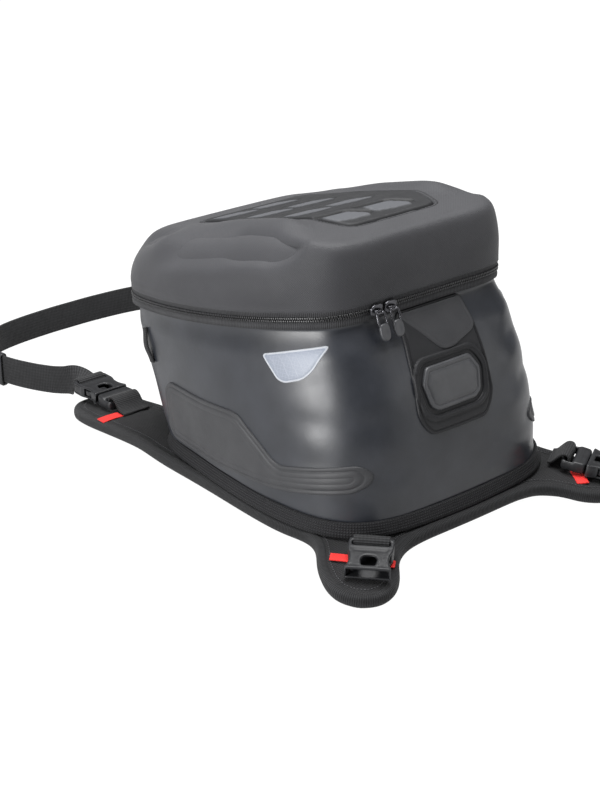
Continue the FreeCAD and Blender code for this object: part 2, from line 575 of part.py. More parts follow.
# ---------- rear strap: short webbing tail parked beside the rear-right leg, folded in a flat bundle ----------
fold = Part.Face(poly_wire([(-12.5, 27.2, -6.4), (-12.5, 27.2, 6.4), (-12.5, 35.6, 6.4), (-12.5, 35.6, -6.4)])).extrude(Vector(25, 0, 0))
fold = fold.cut(Part.makeBox(27, 4.7, 9.9, Vector(-13.5, 29.0, -4.95)))
tail = Part.makeBox(D["web_w"], 30.0, D["web_t"], Vector(-D["web_w"] / 2, 34.0, -0.9))
bundle = Part.makeBox(D["web_w"], 40.0, 12.0, Vector(-D["web_w"] / 2, 60.0, -6.0))
rs = fold.fuse(tail).fuse(bundle)
rs.Placement = PL_RR
feature("rear_strap_webbing", rs)

# ---------- small loops on the front corners ----------
loops = []
for sx in (-1, 1):
    t = common1(band_panel, prism_x([(110, 84), (119, 84), (124, 112), (115, 112)], sx))
    t = t.cut(prism_x([(112.0, 86), (117.6, 86), (119.7, 98), (114.1, 98)], sx))
    loops.append(max(t.Solids, key=lambda q: q.Volume))
feature("corner_loops", Part.makeCompound(loops))

doc.recompute()

# ---------- checks and export ----------
bad = []
for o in doc.Objects:
    if "Invalid" in o.State or "Error" in o.State:
        bad.append((o.Name, list(o.State)))
for o in NODES:
    if o.Shape.isNull() or not o.Shape.isValid() or not o.Shape.Solids:
        bad.append((o.Label, "shape"))
if bad:
    raise SystemExit("bad objects: %r" % bad)
os.makedirs("parts", exist_ok=True)
for f in os.listdir("parts"):
    if f.endswith(".step"):
        os.remove(os.path.join("parts", f))
for o in NODES:
    o.Shape.exportStep("parts/%s.step" % o.Label)
bbs = [o.Shape.BoundBox for o in NODES]
print("nodes", len(NODES), "box",
      [round(min(b.XMin for b in bbs), 1), round(min(b.YMin for b in bbs), 1), round(min(b.ZMin for b in bbs), 1)],
      [round(max(b.XMax for b in bbs), 1), round(max(b.YMax for b in bbs), 1), round(max(b.ZMax for b in bbs), 1)])
for o in NODES:
    b = o.Shape.BoundBox
    print("%-28s vol %9.1f solids %d  x %7.1f %7.1f  y %7.1f %7.1f  z %6.1f %6.1f" % (o.Label, o.Shape.Volume, len(o.Shape.Solids), b.XMin, b.XMax, b.YMin, b.YMax, b.ZMin, b.ZMax))
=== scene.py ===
import bpy, math
import numpy as np
from mathutils import Vector, Matrix
from mathutils.bvhtree import BVHTree
from mathutils.geometry import delaunay_2d_cdt


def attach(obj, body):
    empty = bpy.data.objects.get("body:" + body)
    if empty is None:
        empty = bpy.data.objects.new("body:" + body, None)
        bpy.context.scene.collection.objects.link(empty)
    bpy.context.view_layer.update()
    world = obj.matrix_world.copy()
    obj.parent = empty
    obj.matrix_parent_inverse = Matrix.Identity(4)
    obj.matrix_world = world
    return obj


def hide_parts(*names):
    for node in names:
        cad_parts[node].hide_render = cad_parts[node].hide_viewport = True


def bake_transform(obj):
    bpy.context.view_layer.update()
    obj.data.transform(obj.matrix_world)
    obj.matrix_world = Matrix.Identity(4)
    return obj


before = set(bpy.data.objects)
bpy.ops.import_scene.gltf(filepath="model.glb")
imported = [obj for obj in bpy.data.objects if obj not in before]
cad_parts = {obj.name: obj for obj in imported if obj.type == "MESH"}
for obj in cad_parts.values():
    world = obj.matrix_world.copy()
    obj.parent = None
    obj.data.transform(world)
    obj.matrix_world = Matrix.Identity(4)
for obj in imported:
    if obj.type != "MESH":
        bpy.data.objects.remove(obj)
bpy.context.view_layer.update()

# Tank bag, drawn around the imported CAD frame. Lengths in this script are in millimetres in the
# frame's axes and are turned into metres where an object is made.
RNG = np.random.default_rng(11)

# ------------------------------------------------------------------ mesh helpers


def make(name, verts, faces, mat, body, uv=None, attrs=None, smooth=True, replaces=()):
    """A mesh object from millimetre vertices. faces is a list of index tuples; uv is per vertex, in mm."""
    me = bpy.data.meshes.new(name)
    v = np.asarray(verts, float) * 0.001
    me.from_pydata([tuple(p) for p in v], [], [tuple(int(i) for i in f) for f in faces])
    if smooth:
        me.polygons.foreach_set("use_smooth", [True] * len(me.polygons))
    if uv is not None:
        uv = np.asarray(uv, float)
        lay = me.uv_layers.new(name="UVMap")
        li = np.zeros(len(me.loops), np.int32)
        me.loops.foreach_get("vertex_index", li)
        lay.data.foreach_set("uv", (uv[li] * 0.001).astype(np.float32).ravel())
    for k, a in (attrs or {}).items():
        at = me.attributes.new(k, "FLOAT", "POINT")
        at.data.foreach_set("value", np.asarray(a, np.float32))
    me.validate()
    me.update()
    ob = bpy.data.objects.new(name, me)
    bpy.context.scene.collection.objects.link(ob)
    if mat is not None:
        me.materials.append(mat)
    if body:
        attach(ob, body)
    if replaces:
        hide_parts(*replaces)
    return ob


def grid(nu, nv, wrap=True, flip=False, base=0):
    """Quads over nv rows of nu points."""
    f = []
    for j in range(nv - 1):
        for i in range(nu if wrap else nu - 1):
            a, b = base + j * nu + i, base + j * nu + (i + 1) % nu
            c, d = b + nu, a + nu
            f.append((a, d, c, b) if flip else (a, b, c, d))
    return f


def pspline(pts, sub):
    """Closed cubic spline by chord length, sub samples on each span."""
    P = np.asarray(pts, float)
    n = len(P)
    h = np.linalg.norm(np.roll(P, -1, 0) - P, axis=1)
    A = np.zeros((n, n))
    B = np.zeros_like(P)
    for i in range(n):
        hm, hi = h[i - 1], h[i]
        A[i, (i - 1) % n] += hm
        A[i, i] += 2 * (hm + hi)
        A[i, (i + 1) % n] += hi
        B[i] = 6 * ((P[(i + 1) % n] - P[i]) / hi - (P[i] - P[i - 1]) / hm)
    M = np.linalg.solve(A, B)
    out = []
    for i in range(n):
        for k in range(sub):
            t = k / sub * h[i]
            r = h[i] - t
            out.append((M[i] * r ** 3 + M[(i + 1) % n] * t ** 3) / (6 * h[i])
                       + (P[i] / h[i] - M[i] * h[i] / 6) * r + (P[(i + 1) % n] / h[i] - M[(i + 1) % n] * h[i] / 6) * t)
    return np.array(out)


def ospline(pts, n):
    """Open Catmull-Rom through pts (any dimension), n samples evenly by length."""
    P = np.asarray(pts, float)
    Q = np.vstack([2 * P[0] - P[1], P, 2 * P[-1] - P[-2]])
    out = []
    for i in range(1, len(Q) - 2):
        p0, p1, p2, p3 = Q[i - 1], Q[i], Q[i + 1], Q[i + 2]
        for t in np.linspace(0, 1, 24, endpoint=False):
            out.append(0.5 * (2 * p1 + (p2 - p0) * t + (2 * p0 - 5 * p1 + 4 * p2 - p3) * t * t + (3 * p1 - p0 - 3 * p2 + p3) * t ** 3))
    out.append(P[-1])
    return even(np.array(out), n)


def even(P, n, closed=False):
    Q = np.vstack([P, P[:1]]) if closed else P
    s = np.concatenate([[0], np.cumsum(np.linalg.norm(np.diff(Q, axis=0), axis=1))])
    t = np.linspace(0, s[-1], n + 1)[:-1] if closed else np.linspace(0, s[-1], n)
    return np.stack([np.interp(t, s, Q[:, k]) for k in range(Q.shape[1])], 1)


def rounded(poly, r, k=6):
    """Polygon with its corners rounded by quadratic curves of about radius r (a number or one per corner)."""
    P = np.asarray(poly, float)
    n = len(P)
    out = []
    for i in range(n):
        a, b, c = P[i - 1], P[i], P[(i + 1) % n]
        rr = r[i] if hasattr(r, "__len__") else r
        la, lc = np.linalg.norm(a - b), np.linalg.norm(c - b)
        q = min(rr, 0.45 * la, 0.45 * lc)
        p, s = b + (a - b) / la * q, b + (c - b) / lc * q
        for t in np.linspace(0, 1, k):
            out.append((1 - t) ** 2 * p + 2 * t * (1 - t) * b + t * t * s)
    return np.array(out)


def inside(pts, poly):
    x, y = pts[:, 0][:, None], pts[:, 1][:, None]
    a, b = poly, np.roll(poly, -1, 0)
    c = ((a[:, 1] > y) != (b[:, 1] > y)) & (x < (b[:, 0] - a[:, 0]) * (y - a[:, 1]) / (b[:, 1] - a[:, 1] + 1e-12) + a[:, 0])
    return c.sum(1) % 2 == 1


def dist_to(pts, poly, closed=True):
    """Distance from each point to a polyline."""
    a = poly if closed else poly[:-1]
    b = np.roll(poly, -1, 0) if closed else poly[1:]
    out = np.full(len(pts), 1e9)
    d = b - a
    l2 = (d * d).sum(1) + 1e-12
    for k in range(0, len(pts), 2000):
        q = pts[k:k + 2000][:, None, :]
        t = np.clip(((q - a) * d).sum(2) / l2, 0, 1)
        out[k:k + 2000] = np.sqrt((((q - a) - t[..., None] * d) ** 2).sum(2)).min(1)
    return out


def area_mesh(outer, holes=(), rings=(0.3, 0.7, 1.3, 2.2), step=3.0, bstep=None, extra=None):
    """Triangulated plane region. Returns points, triangles, distance to the nearest edge, and the boundary loops."""
    bstep = bstep or step * 0.6
    loops, pts = [], []
    for L in (outer, *holes):
        L = np.asarray(L, float)
        per = np.linalg.norm(np.roll(L, -1, 0) - L, axis=1).sum()
        L = even(L, max(12, int(per / bstep)), True)
        loops.append(L)
    nb = [len(L) for L in loops]
    bound = np.vstack(loops)
    cand = []
    sgn = 1 if ((outer[:, 0] * np.roll(outer[:, 1], -1) - np.roll(outer[:, 0], -1) * outer[:, 1]).sum() > 0) else -1
    for L in loops:
        t = np.roll(L, -1, 0) - np.roll(L, 1, 0)
        t /= np.linalg.norm(t, axis=1)[:, None] + 1e-12
        n = np.stack([-t[:, 1], t[:, 0]], 1)
        for r in rings:
            for s in (1, -1):
                cand.append(np.hstack([L + n * r * s, np.full((len(L), 1), r)]))
    C = np.vstack(cand) if cand else np.zeros((0, 3))
    ok = inside(C[:, :2], loops[0])
    for L in loops[1:]:
        ok &= ~inside(C[:, :2], L)
    C = C[ok]
    d = np.full(len(C), 1e9)
    for L in loops:
        d = np.minimum(d, dist_to(C[:, :2], L))
    C = C[np.abs(d - C[:, 2]) < 0.06 * C[:, 2] + 0.02]
    lo, hi = loops[0].min(0), loops[0].max(0)
    gx = np.arange(lo[0], hi[0] + step, step)
    gy = np.arange(lo[1], hi[1] + step, step * 0.866)
    G = np.array([(x + (step / 2 if j % 2 else 0), y) for j, y in enumerate(gy) for x in gx])
    ok = inside(G, loops[0])
    for L in loops[1:]:
        ok &= ~inside(G, L)
    G = G[ok]
    d = np.full(len(G), 1e9)
    for L in loops:
        d = np.minimum(d, dist_to(G, L))
    G = G[d > (rings[-1] if rings else 0) + step * 0.45]
    allp = [bound, C[:, :2], G]
    if extra is not None and len(extra):
        allp.append(np.asarray(extra, float))
    P = np.vstack(allp)
    # thin out points that lie on top of each other
    key = np.round(P / 0.12).astype(np.int64)
    _, first = np.unique(key, axis=0, return_index=True)
    keepm = np.zeros(len(P), bool)
    keepm[first] = True
    keepm[:len(bound)] = True
    P = P[keepm]
    edges, k = [], 0
    for m in nb:
        edges += [(k + i, k + (i + 1) % m) for i in range(m)]
        k += m
    vo, eo, fo, ov, oe, of_ = delaunay_2d_cdt([Vector(p) for p in P], edges, [], 0, 1e-5)
    V = np.array([tuple(p) for p in vo])
    T = np.array([f for f in fo if len(f) == 3])
    c = V[T].mean(1)
    ok = inside(c, loops[0])
    for L in loops[1:]:
        ok &= ~inside(c, L)
    T = T[ok]
    e1, e2 = V[T[:, 1]] - V[T[:, 0]], V[T[:, 2]] - V[T[:, 0]]
    ar = e1[:, 0] * e2[:, 1] - e1[:, 1] * e2[:, 0]
    T[ar < 0] = T[ar < 0][:, ::-1]
    T = T[np.abs(ar) > 1e-6]
    used = np.unique(T)
    mp = -np.ones(len(V), int)
    mp[used] = np.arange(len(used))
    V, T = V[used], mp[T]
    D = np.full(len(V), 1e9)
    for L in loops:
        D = np.minimum(D, dist_to(V, L))
    return V, T, D, loops


def border_edges(T):
    """Directed boundary edges of a triangle list."""
    E = {}
    for a, b, c in T:
        for e in ((a, b), (b, c), (c, a)):
            E[e] = True
    return [e for e in E if (e[1], e[0]) not in E]


def solid_from(V, T, top, bottom):
    """Closed mesh from a flat triangulation and its two height fields, given as 3-D points."""
    n = len(V)
    F = [tuple(t) for t in T] + [(t[2] + n, t[1] + n, t[0] + n) for t in T]
    F += [(b, a, a + n, b + n) for a, b in border_edges(T)]
    return np.vstack([top, bottom]), F


def pillow(outer, holes, thick, r, step=2.2, crown=0.0, bstep=None, zfun=None):
    """Rounded-edge plate in the local XY plane, centred on z = 0. Returns vertices, faces, uv."""
    rr = [r * q for q in (0.04, 0.16, 0.4, 0.7, 1.0)]
    V, T, D, L = area_mesh(outer, holes, rings=rr, step=step, bstep=bstep)
    q = np.clip(D / r, 0, 1)
    z = thick / 2 - r + r * np.sqrt(np.clip(1 - (1 - q) ** 2, 0, 1)) + crown * np.clip(D / 8, 0, 1)
    zt, zb = z.copy(), -(thick / 2 - r + r * np.sqrt(np.clip(1 - (1 - q) ** 2, 0, 1)))
    if zfun is not None:
        zt, zb = zfun(V, D, zt, zb)
    P, F = solid_from(V, T, np.column_stack([V, zt]), np.column_stack([V, zb]))
    return P, F, np.vstack([V, V])


def merge(parts):
    """Joins (verts, faces, uv) tuples."""
    P, F, U, k = [], [], [], 0
    for p, f, u in parts:
        P.append(p)
        U.append(u)
        F += [tuple(i + k for i in q) for q in f]
        k += len(p)
    return np.vstack(P), F, np.vstack(U)


def rrect(w, h, r, k=4):
    """Rounded rectangle section, anticlockwise."""
    out = []
    for cx, cy, a0 in ((w / 2 - r, h / 2 - r, 0), (-w / 2 + r, h / 2 - r, 90), (-w / 2 + r, -h / 2 + r, 180), (w / 2 - r, -h / 2 + r, 270)):
        for t in np.linspace(0, 90, k):
            a = math.radians(a0 + t)
            out.append((cx + r * math.cos(a), cy + r * math.sin(a)))
    return np.array(out)


def sweep(path, across, section, closed=False, caps=True, scale=None):
    """Sweeps a section (a along `across`, b along the normal) on a path. Returns verts, faces, uv (mm along, mm round)."""
    path = np.asarray(path, float)
    n, m = len(path), len(section)
    if closed:
        t = np.roll(path, -1, 0) - np.roll(path, 1, 0)
    else:
        t = np.gradient(path, axis=0)
    t /= np.linalg.norm(t, axis=1)[:, None] + 1e-12
    a = np.broadcast_to(np.asarray(across, float), path.shape).copy()
    a -= (a * t).sum(1)[:, None] * t
    a /= np.linalg.norm(a, axis=1)[:, None] + 1e-12
    nn = np.cross(t, a)
    P, U = [], []
    s = np.concatenate([[0], np.cumsum(np.linalg.norm(np.diff(path, axis=0), axis=1))])
    ss = np.concatenate([[0], np.cumsum(np.linalg.norm(np.diff(np.vstack([section, section[:1]]), axis=0), axis=1))])[:m]
    for i in range(n):
        k = 1.0 if scale is None else scale[i]
        P.append(path[i] + section[:, :1] * k * a[i] + section[:, 1:2] * k * nn[i])
        U.append(np.column_stack([np.full(m, s[i]), ss]))
    P, U = np.vstack(P), np.vstack(U)
    F = []
    for i in range(n if closed else n - 1):
        for j in range(m):
            q = ((i + 1) % n) * m
            F.append((i * m + j, i * m + (j + 1) % m, q + (j + 1) % m, q + j))
    if caps and not closed:
        F.append(tuple(range(m))[::-1])
        F.append(tuple((n - 1) * m + j for j in range(m)))
    return P, F, U


def normals_grid(P, nu, nv, wrap=True):
    G = P.reshape(nv, nu, 3)
    du = np.roll(G, -1, 1) - np.roll(G, 1, 1) if wrap else np.gradient(G, axis=1)
    dv = np.gradient(G, axis=0)
    N = np.cross(du, dv)
    N /= np.linalg.norm(N, axis=2)[..., None] + 1e-12
    return N.reshape(-1, 3)


def seg_dist(P, a, b):
    a, b = np.asarray(a, float), np.asarray(b, float)
    d = b - a
    t = np.clip(((P - a) @ d) / (d @ d), 0, 1)
    return np.linalg.norm(P - a - t[:, None] * d, axis=1), t


def smooth01(x, a, b):
    t = np.clip((x - a) / (b - a), 0, 1)
    return t * t * (3 - 2 * t)


# ------------------------------------------------------------------ materials


class Mat:
    def __init__(self, name, color, rough, **soc):
        self.m = bpy.data.materials.new(name)
        self.m.use_nodes = True
        self.nt = self.m.node_tree
        self.b = self.nt.nodes["Principled BSDF"]
        self.b.inputs["Base Color"].default_value = (*color, 1)
        self.b.inputs["Roughness"].default_value = rough
        for k, v in soc.items():
            self.b.inputs[k.replace("_", " ")].default_value = v
        self.height = None

    def n(self, kind, **kw):
        node = self.nt.nodes.new("ShaderNode" + kind)
        for k, v in kw.items():
            setattr(node, k, v)
        return node

    def link(self, a, b):
        self.nt.links.new(a, b)

    def put(self, sock, v):
        if hasattr(v, "links") or isinstance(v, bpy.types.NodeSocket):
            self.link(v, sock)
        else:
            sock.default_value = v

    def coord(self, kind="Object", scale=1.0, rot=(0, 0, 0)):
        t = self.n("TexCoord")
        mp = self.n("Mapping")
        mp.inputs["Scale"].default_value = scale if hasattr(scale, "__len__") else (scale,) * 3
        mp.inputs["Rotation"].default_value = rot
        self.link(t.outputs[kind], mp.inputs["Vector"])
        return mp.outputs["Vector"]

    def noise(self, scale, detail=4, rough=0.55, vec=None, dist=0.0):
        t = self.n("TexNoise")
        t.inputs["Scale"].default_value = scale
        t.inputs["Detail"].default_value = detail
        t.inputs["Roughness"].default_value = rough
        t.inputs["Distortion"].default_value = dist
        self.link(vec if vec is not None else self.coord(), t.inputs["Vector"])
        return t.outputs["Fac"]

    def voro(self, scale, vec=None, feature="F1", out="Distance", rnd=1.0):
        t = self.n("TexVoronoi", feature=feature)
        t.inputs["Scale"].default_value = scale
        t.inputs["Randomness"].default_value = rnd
        self.link(vec if vec is not None else self.coord(), t.inputs["Vector"])
        return t.outputs[out]

    def wave(self, scale, direction="X", vec=None, dist=0.0, profile="SIN"):
        t = self.n("TexWave", bands_direction=direction, wave_profile=profile)
        t.inputs["Scale"].default_value = scale
        t.inputs["Distortion"].default_value = dist
        t.inputs["Detail"].default_value = 1.0
        self.link(vec if vec is not None else self.coord(), t.inputs["Vector"])
        return t.outputs["Fac"]

    def math(self, op, a, b=0.0, c=None):
        t = self.n("Math", operation=op)
        self.put(t.inputs[0], a)
        self.put(t.inputs[1], b)
        if c is not None:
            self.put(t.inputs[2], c)
        return t.outputs[0]

    def ramp(self, fac, stops):
        t = self.n("ValToRGB")
        e = t.color_ramp.elements
        while len(e) < len(stops):
            e.new(0.5)
        for q, (p, c) in zip(e, stops):
            q.position = p
            q.color = (*c, 1) if hasattr(c, "__len__") else (c, c, c, 1)
        self.link(fac, t.inputs["Fac"])
        return t.outputs["Color"]

    def mix(self, fac, a, b):
        t = self.n("Mix", data_type="RGBA")
        self.put(t.inputs[0], fac)
        for s, v in ((t.inputs[6], a), (t.inputs[7], b)):
            self.put(s, (*v, 1) if hasattr(v, "__len__") and len(v) == 3 else v)
        return t.outputs[2]

    def attr(self, name):
        t = self.n("Attribute", attribute_name=name)
        return t.outputs["Fac"]

    def color(self, s):
        self.link(s, self.b.inputs["Base Color"])
        return self

    def rough(self, fac, lo, hi):
        t = self.n("MapRange")
        self.link(fac, t.inputs["Value"])
        t.inputs["To Min"].default_value = lo
        t.inputs["To Max"].default_value = hi
        self.link(t.outputs["Result"], self.b.inputs["Roughness"])
        return self

    def bump(self, h, strength, distance):
        t = self.n("Bump")
        t.inputs["Strength"].default_value = strength
        t.inputs["Distance"].default_value = distance
        self.put(t.inputs["Height"], h)
        if self.height is not None:
            self.link(self.height, t.inputs["Normal"])
        self.height = t.outputs["Normal"]
        self.link(self.height, self.b.inputs["Normal"])
        return self


def weave_height(m, scale, kind="UV", rot=0.0):
    """Plain weave: two crossed sets of threads. scale = threads per metre / 2pi handled by the wave node."""
    v = m.coord(kind, 1.0, (0, 0, rot))
    a = m.wave(scale, "X", v)
    b = m.wave(scale, "Y", v)
    return m.math("MULTIPLY", m.math("ADD", a, b), 0.5)


def pale_convex_edges(m, amount=1.0):
    """Lighter colour on the mesh's convex edges, from its pointiness."""
    g = m.n("NewGeometry")
    return m.ramp(g.outputs["Pointiness"], [(0.50, 0.0), (0.56, amount)])


M = {}
# welded TPU skin: satin, faintly mottled, fine orange peel
m = Mat("tub_tpu", (0.016, 0.018, 0.022), 0.4, Specular_IOR_Level=0.42, Coat_Weight=0.08, Coat_Roughness=0.3)
n1 = m.noise(38, 5)
m.color(m.ramp(n1, [(0.3, (0.011, 0.0125, 0.016)), (0.75, (0.020, 0.022, 0.028))]))
m.rough(m.noise(120, 4), 0.33, 0.44)
m.bump(m.noise(1400, 3), 0.10, 0.0004).bump(m.noise(55, 4, dist=0.6), 0.14, 0.001)
M["tub"] = m.m
# inside of the tub: coated fabric
m = Mat("tub_lining", (0.03, 0.032, 0.036), 0.7)
m.color(m.ramp(m.noise(60, 4), [(0.3, (0.022, 0.024, 0.028)), (0.8, (0.036, 0.038, 0.044))]))
m.bump(weave_height(m, 260), 0.3, 0.0003)
M["lining"] = m.m
# moulded lid: matte knitted facing on EVA
m = Mat("lid_eva", (0.035, 0.036, 0.04), 0.62, Sheen_Weight=0.05, Sheen_Roughness=0.5, Specular_IOR_Level=0.25)
n1 = m.noise(24, 4)
c = m.ramp(n1, [(0.3, (0.0245, 0.0248, 0.0275)), (0.75, (0.0315, 0.0318, 0.035))])
w = weave_height(m, 260, "UV", 0.78)
m.color(m.mix(m.math("MULTIPLY", w, 0.4), c, (0.046, 0.0465, 0.0515)))
m.rough(m.noise(90, 3), 0.55, 0.70)
m.bump(w, 0.35, 0.00035).bump(m.noise(900, 3), 0.2, 0.0003)
M["lid"] = m.m
# tread pad on the lid; its grooves are coloured near black as painted shade
m = Mat("lid_tread", (0.012, 0.012, 0.014), 0.6, Specular_IOR_Level=0.25)
cell, groove = m.attr("cell"), m.attr("groove")
base = m.ramp(m.noise(150, 4), [(0.3, (0.011, 0.0113, 0.0125)), (0.8, (0.017, 0.0173, 0.019))])
c1 = m.mix(cell, base, (0.062, 0.064, 0.070))
# painted shade: the groove attribute turns the pad's grooves near black
m.color(m.mix(groove, c1, (0.0015, 0.0015, 0.0018)))
m.rough(m.noise(200, 3), 0.55, 0.7)
m.bump(m.noise(1600, 3), 0.25, 0.0003)
M["tread"] = m.m
# rubber panels
m = Mat("panel_rubber", (0.02, 0.021, 0.024), 0.52, Specular_IOR_Level=0.36)
m.color(m.ramp(m.noise(45, 5), [(0.3, (0.022, 0.0225, 0.025)), (0.75, (0.031, 0.0315, 0.034))]))
m.rough(m.noise(160, 4), 0.46, 0.6)
m.bump(m.voro(1500), 0.22, 0.0003).bump(m.noise(30, 3), 0.2, 0.0008)
M["panel"] = m.m
# darker rubber of the rear panel and of the bead round the badge
m = Mat("rear_rubber", (0.02, 0.021, 0.024), 0.52, Specular_IOR_Level=0.26)
m.color(m.ramp(m.noise(45, 5), [(0.3, (0.009, 0.0093, 0.0105)), (0.75, (0.014, 0.0143, 0.016))]))
m.rough(m.noise(160, 4), 0.46, 0.6)
m.bump(m.voro(1500), 0.22, 0.0003).bump(m.noise(30, 3), 0.2, 0.0008)
M["rear"] = m.m
m = Mat("badge_rubber", (0.03, 0.031, 0.034), 0.42, Specular_IOR_Level=0.5)
m.color(m.ramp(m.noise(90, 4), [(0.3, (0.027, 0.028, 0.031)), (0.8, (0.04, 0.041, 0.045))]))
m.rough(m.noise(220, 4), 0.36, 0.5)
m.bump(m.noise(1300, 3), 0.2, 0.0003)
M["badge"] = m.m
# reflective film: honeycomb cells
m = Mat("reflective", (0.40, 0.44, 0.53), 0.55, Metallic=0.0, Specular_IOR_Level=0.3)
vc = m.voro(420, feature="DISTANCE_TO_EDGE", rnd=0.15)
line = m.ramp(vc, [(0.02, 1.0), (0.09, 0.0)])
rim = m.attr("rim")
c1 = m.mix(m.math("MULTIPLY", line, 0.35), m.ramp(m.noise(30, 2), [(0.3, (0.17, 0.188, 0.227)), (0.8, (0.215, 0.236, 0.28))]), (0.28, 0.30, 0.34))
m.color(m.mix(rim, c1, (0.33, 0.345, 0.37)))
m.rough(m.noise(120, 3), 0.3, 0.45)
m.bump(line, 0.25, 0.0002)
M["reflective"] = m.m


def fabric(name, dark, light, scale, kind, rough=(0.75, 0.92), bump=0.7, dist=0.0006, sheen=0.04, rot=0.0):
    m = Mat(name, dark, rough[0], Sheen_Weight=sheen, Sheen_Roughness=0.5, Specular_IOR_Level=0.3)
    w = weave_height(m, scale, kind, rot)
    f = m.math("MULTIPLY", w, m.math("ADD", m.math("MULTIPLY", m.noise(70, 4), 0.9), 0.35))
    m.color(m.ramp(f, [(0.12, dark), (0.8, light)]))
    m.rough(m.noise(300, 3), *rough)
    m.bump(w, bump, dist).bump(m.noise(700, 4), 0.35, 0.0004)
    return m


M["saddle"] = fabric("saddle_fabric", (0.003, 0.003, 0.0034), (0.011, 0.0113, 0.0125), 200, "UV").m
m = fabric("leg_panel", (0.016, 0.0165, 0.018), (0.03, 0.031, 0.034), 240, "UV", rough=(0.55, 0.7), bump=0.3, dist=0.0003)
M["legpanel"] = m.m


def ribbed(name, dark, light, along, across, rough=(0.7, 0.88), bump=0.9, dist=0.0009):
    """Ribs run across the length: uv x is mm along, uv y is mm across."""
    m = Mat(name, dark, rough[0], Sheen_Weight=0.04, Sheen_Roughness=0.5, Specular_IOR_Level=0.25)
    v = m.coord("UV", 1.0)
    a = m.wave(along, "X", v, 0.15)
    b = m.wave(across, "Y", v, 0.2)
    w = m.math("ADD", m.math("MULTIPLY", a, 0.72), m.math("MULTIPLY", b, 0.28))
    f = m.math("MULTIPLY", w, m.math("ADD", m.math("MULTIPLY", m.noise(60, 4), 0.8), 0.45))
    m.color(m.ramp(f, [(0.15, dark), (0.85, light)]))
    m.rough(m.noise(260, 3), *rough)
    m.bump(w, bump, dist).bump(m.noise(900, 4), 0.3, 0.0004)
    return m


M["binding"] = ribbed("binding_tape", (0.004, 0.004, 0.0045), (0.018, 0.0185, 0.020), 235, 60, dist=0.0005).m
M["webbing"] = ribbed("webbing", (0.006, 0.006, 0.0066), (0.022, 0.0225, 0.024), 215, 120, bump=0.7, dist=0.0005).m
M["ziptape"] = ribbed("zip_tape", (0.013, 0.013, 0.0142), (0.044, 0.0445, 0.0475), 230, 60, bump=0.7, dist=0.0005).m
M["skirt"] = None
m = Mat("skirt_band", (0.005, 0.005, 0.006), 0.78, Sheen_Weight=0.02, Specular_IOR_Level=0.2)
v = m.coord("UV", 1.0)
dots = m.math("MULTIPLY", m.wave(170, "X", v), m.wave(170, "Y", v))
m.color(m.ramp(dots, [(0.2, (0.006, 0.006, 0.007)), (0.75, (0.018, 0.0185, 0.020))]))
m.rough(m.noise(200, 3), 0.6, 0.8)
m.bump(dots, 0.7, 0.0007)
M["skirt"] = m.m
M["red"] = fabric("tab_red", (0.42, 0.008, 0.008), (0.80, 0.03, 0.022), 230, "Object", rough=(0.6, 0.8), bump=0.5, dist=0.0005).m
M["coil"] = Mat("zip_coil", (0.012, 0.012, 0.013), 0.42).m
m = Mat("zip_coil2", (0.013, 0.013, 0.014), 0.4)
m.color(m.ramp(m.noise(400, 3), [(0.3, (0.009, 0.009, 0.01)), (0.8, (0.02, 0.02, 0.022))]))
m.bump(m.noise(2200, 2), 0.2, 0.0002)
M["coil"] = m.m
m = Mat("zip_metal", (0.06, 0.06, 0.065), 0.22, Metallic=0.9)
m.color(m.ramp(m.noise(300, 4), [(0.3, (0.045, 0.045, 0.05)), (0.75, (0.10, 0.10, 0.108))]))
m.rough(m.noise(500, 4), 0.16, 0.34)
m.bump(m.noise(900, 2), 0.06, 0.0002)
M["metal"] = m.m
m = Mat("buckle_plastic", (0.010, 0.0105, 0.012), 0.42, Specular_IOR_Level=0.3)
c = m.ramp(m.noise(140, 4), [(0.3, (0.007, 0.0073, 0.0083)), (0.8, (0.013, 0.0133, 0.015))])
# the plastic is coloured lighter along its convex edges
m.color(m.mix(pale_convex_edges(m, 0.4), c, (0.035, 0.036, 0.039)))
m.rough(m.noise(420, 4), 0.36, 0.52)
m.bump(m.noise(2400, 3), 0.18, 0.0003)
M["plastic"] = m.m
m = Mat("grip_sheet", (0.01, 0.01, 0.011), 0.8)
gd = m.voro(320, rnd=0.1)
m.color(m.ramp(gd, [(0.2, (0.016, 0.016, 0.018)), (0.7, (0.006, 0.006, 0.007))]))
m.bump(gd, 0.7, 0.0008)
m.rough(m.noise(300, 3), 0.7, 0.9)
M["grip"] = m.m
m = Mat("board", (0.03, 0.03, 0.033), 0.6)
m.color(m.ramp(m.noise(50, 5), [(0.3, (0.022, 0.022, 0.025)), (0.8, (0.045, 0.045, 0.05))]))
m.bump(m.noise(700, 4), 0.4, 0.0005)
m.rough(m.noise(150, 3), 0.5, 0.75)
M["board"] = m.m
m = Mat("mesh_net", (0.008, 0.008, 0.009), 0.7)
vv = m.coord("UV", 1.0)
hole = m.math("MULTIPLY", m.wave(85, "X", vv), m.wave(85, "Y", vv))
m.color(m.ramp(hole, [(0.3, (0.014, 0.014, 0.016)), (0.6, (0.003, 0.003, 0.003))]))
m.rough(hole, 0.6, 0.9)
m.bump(hole, 0.8, 0.0009)
M["net"] = m.m
m = Mat("thread", (0.03, 0.03, 0.033), 0.6)
m.color(m.ramp(m.noise(900, 2), [(0.3, (0.02, 0.02, 0.022)), (0.8, (0.05, 0.05, 0.055))]))
m.rough(m.noise(700, 2), 0.5, 0.7)
M["thread"] = m.m

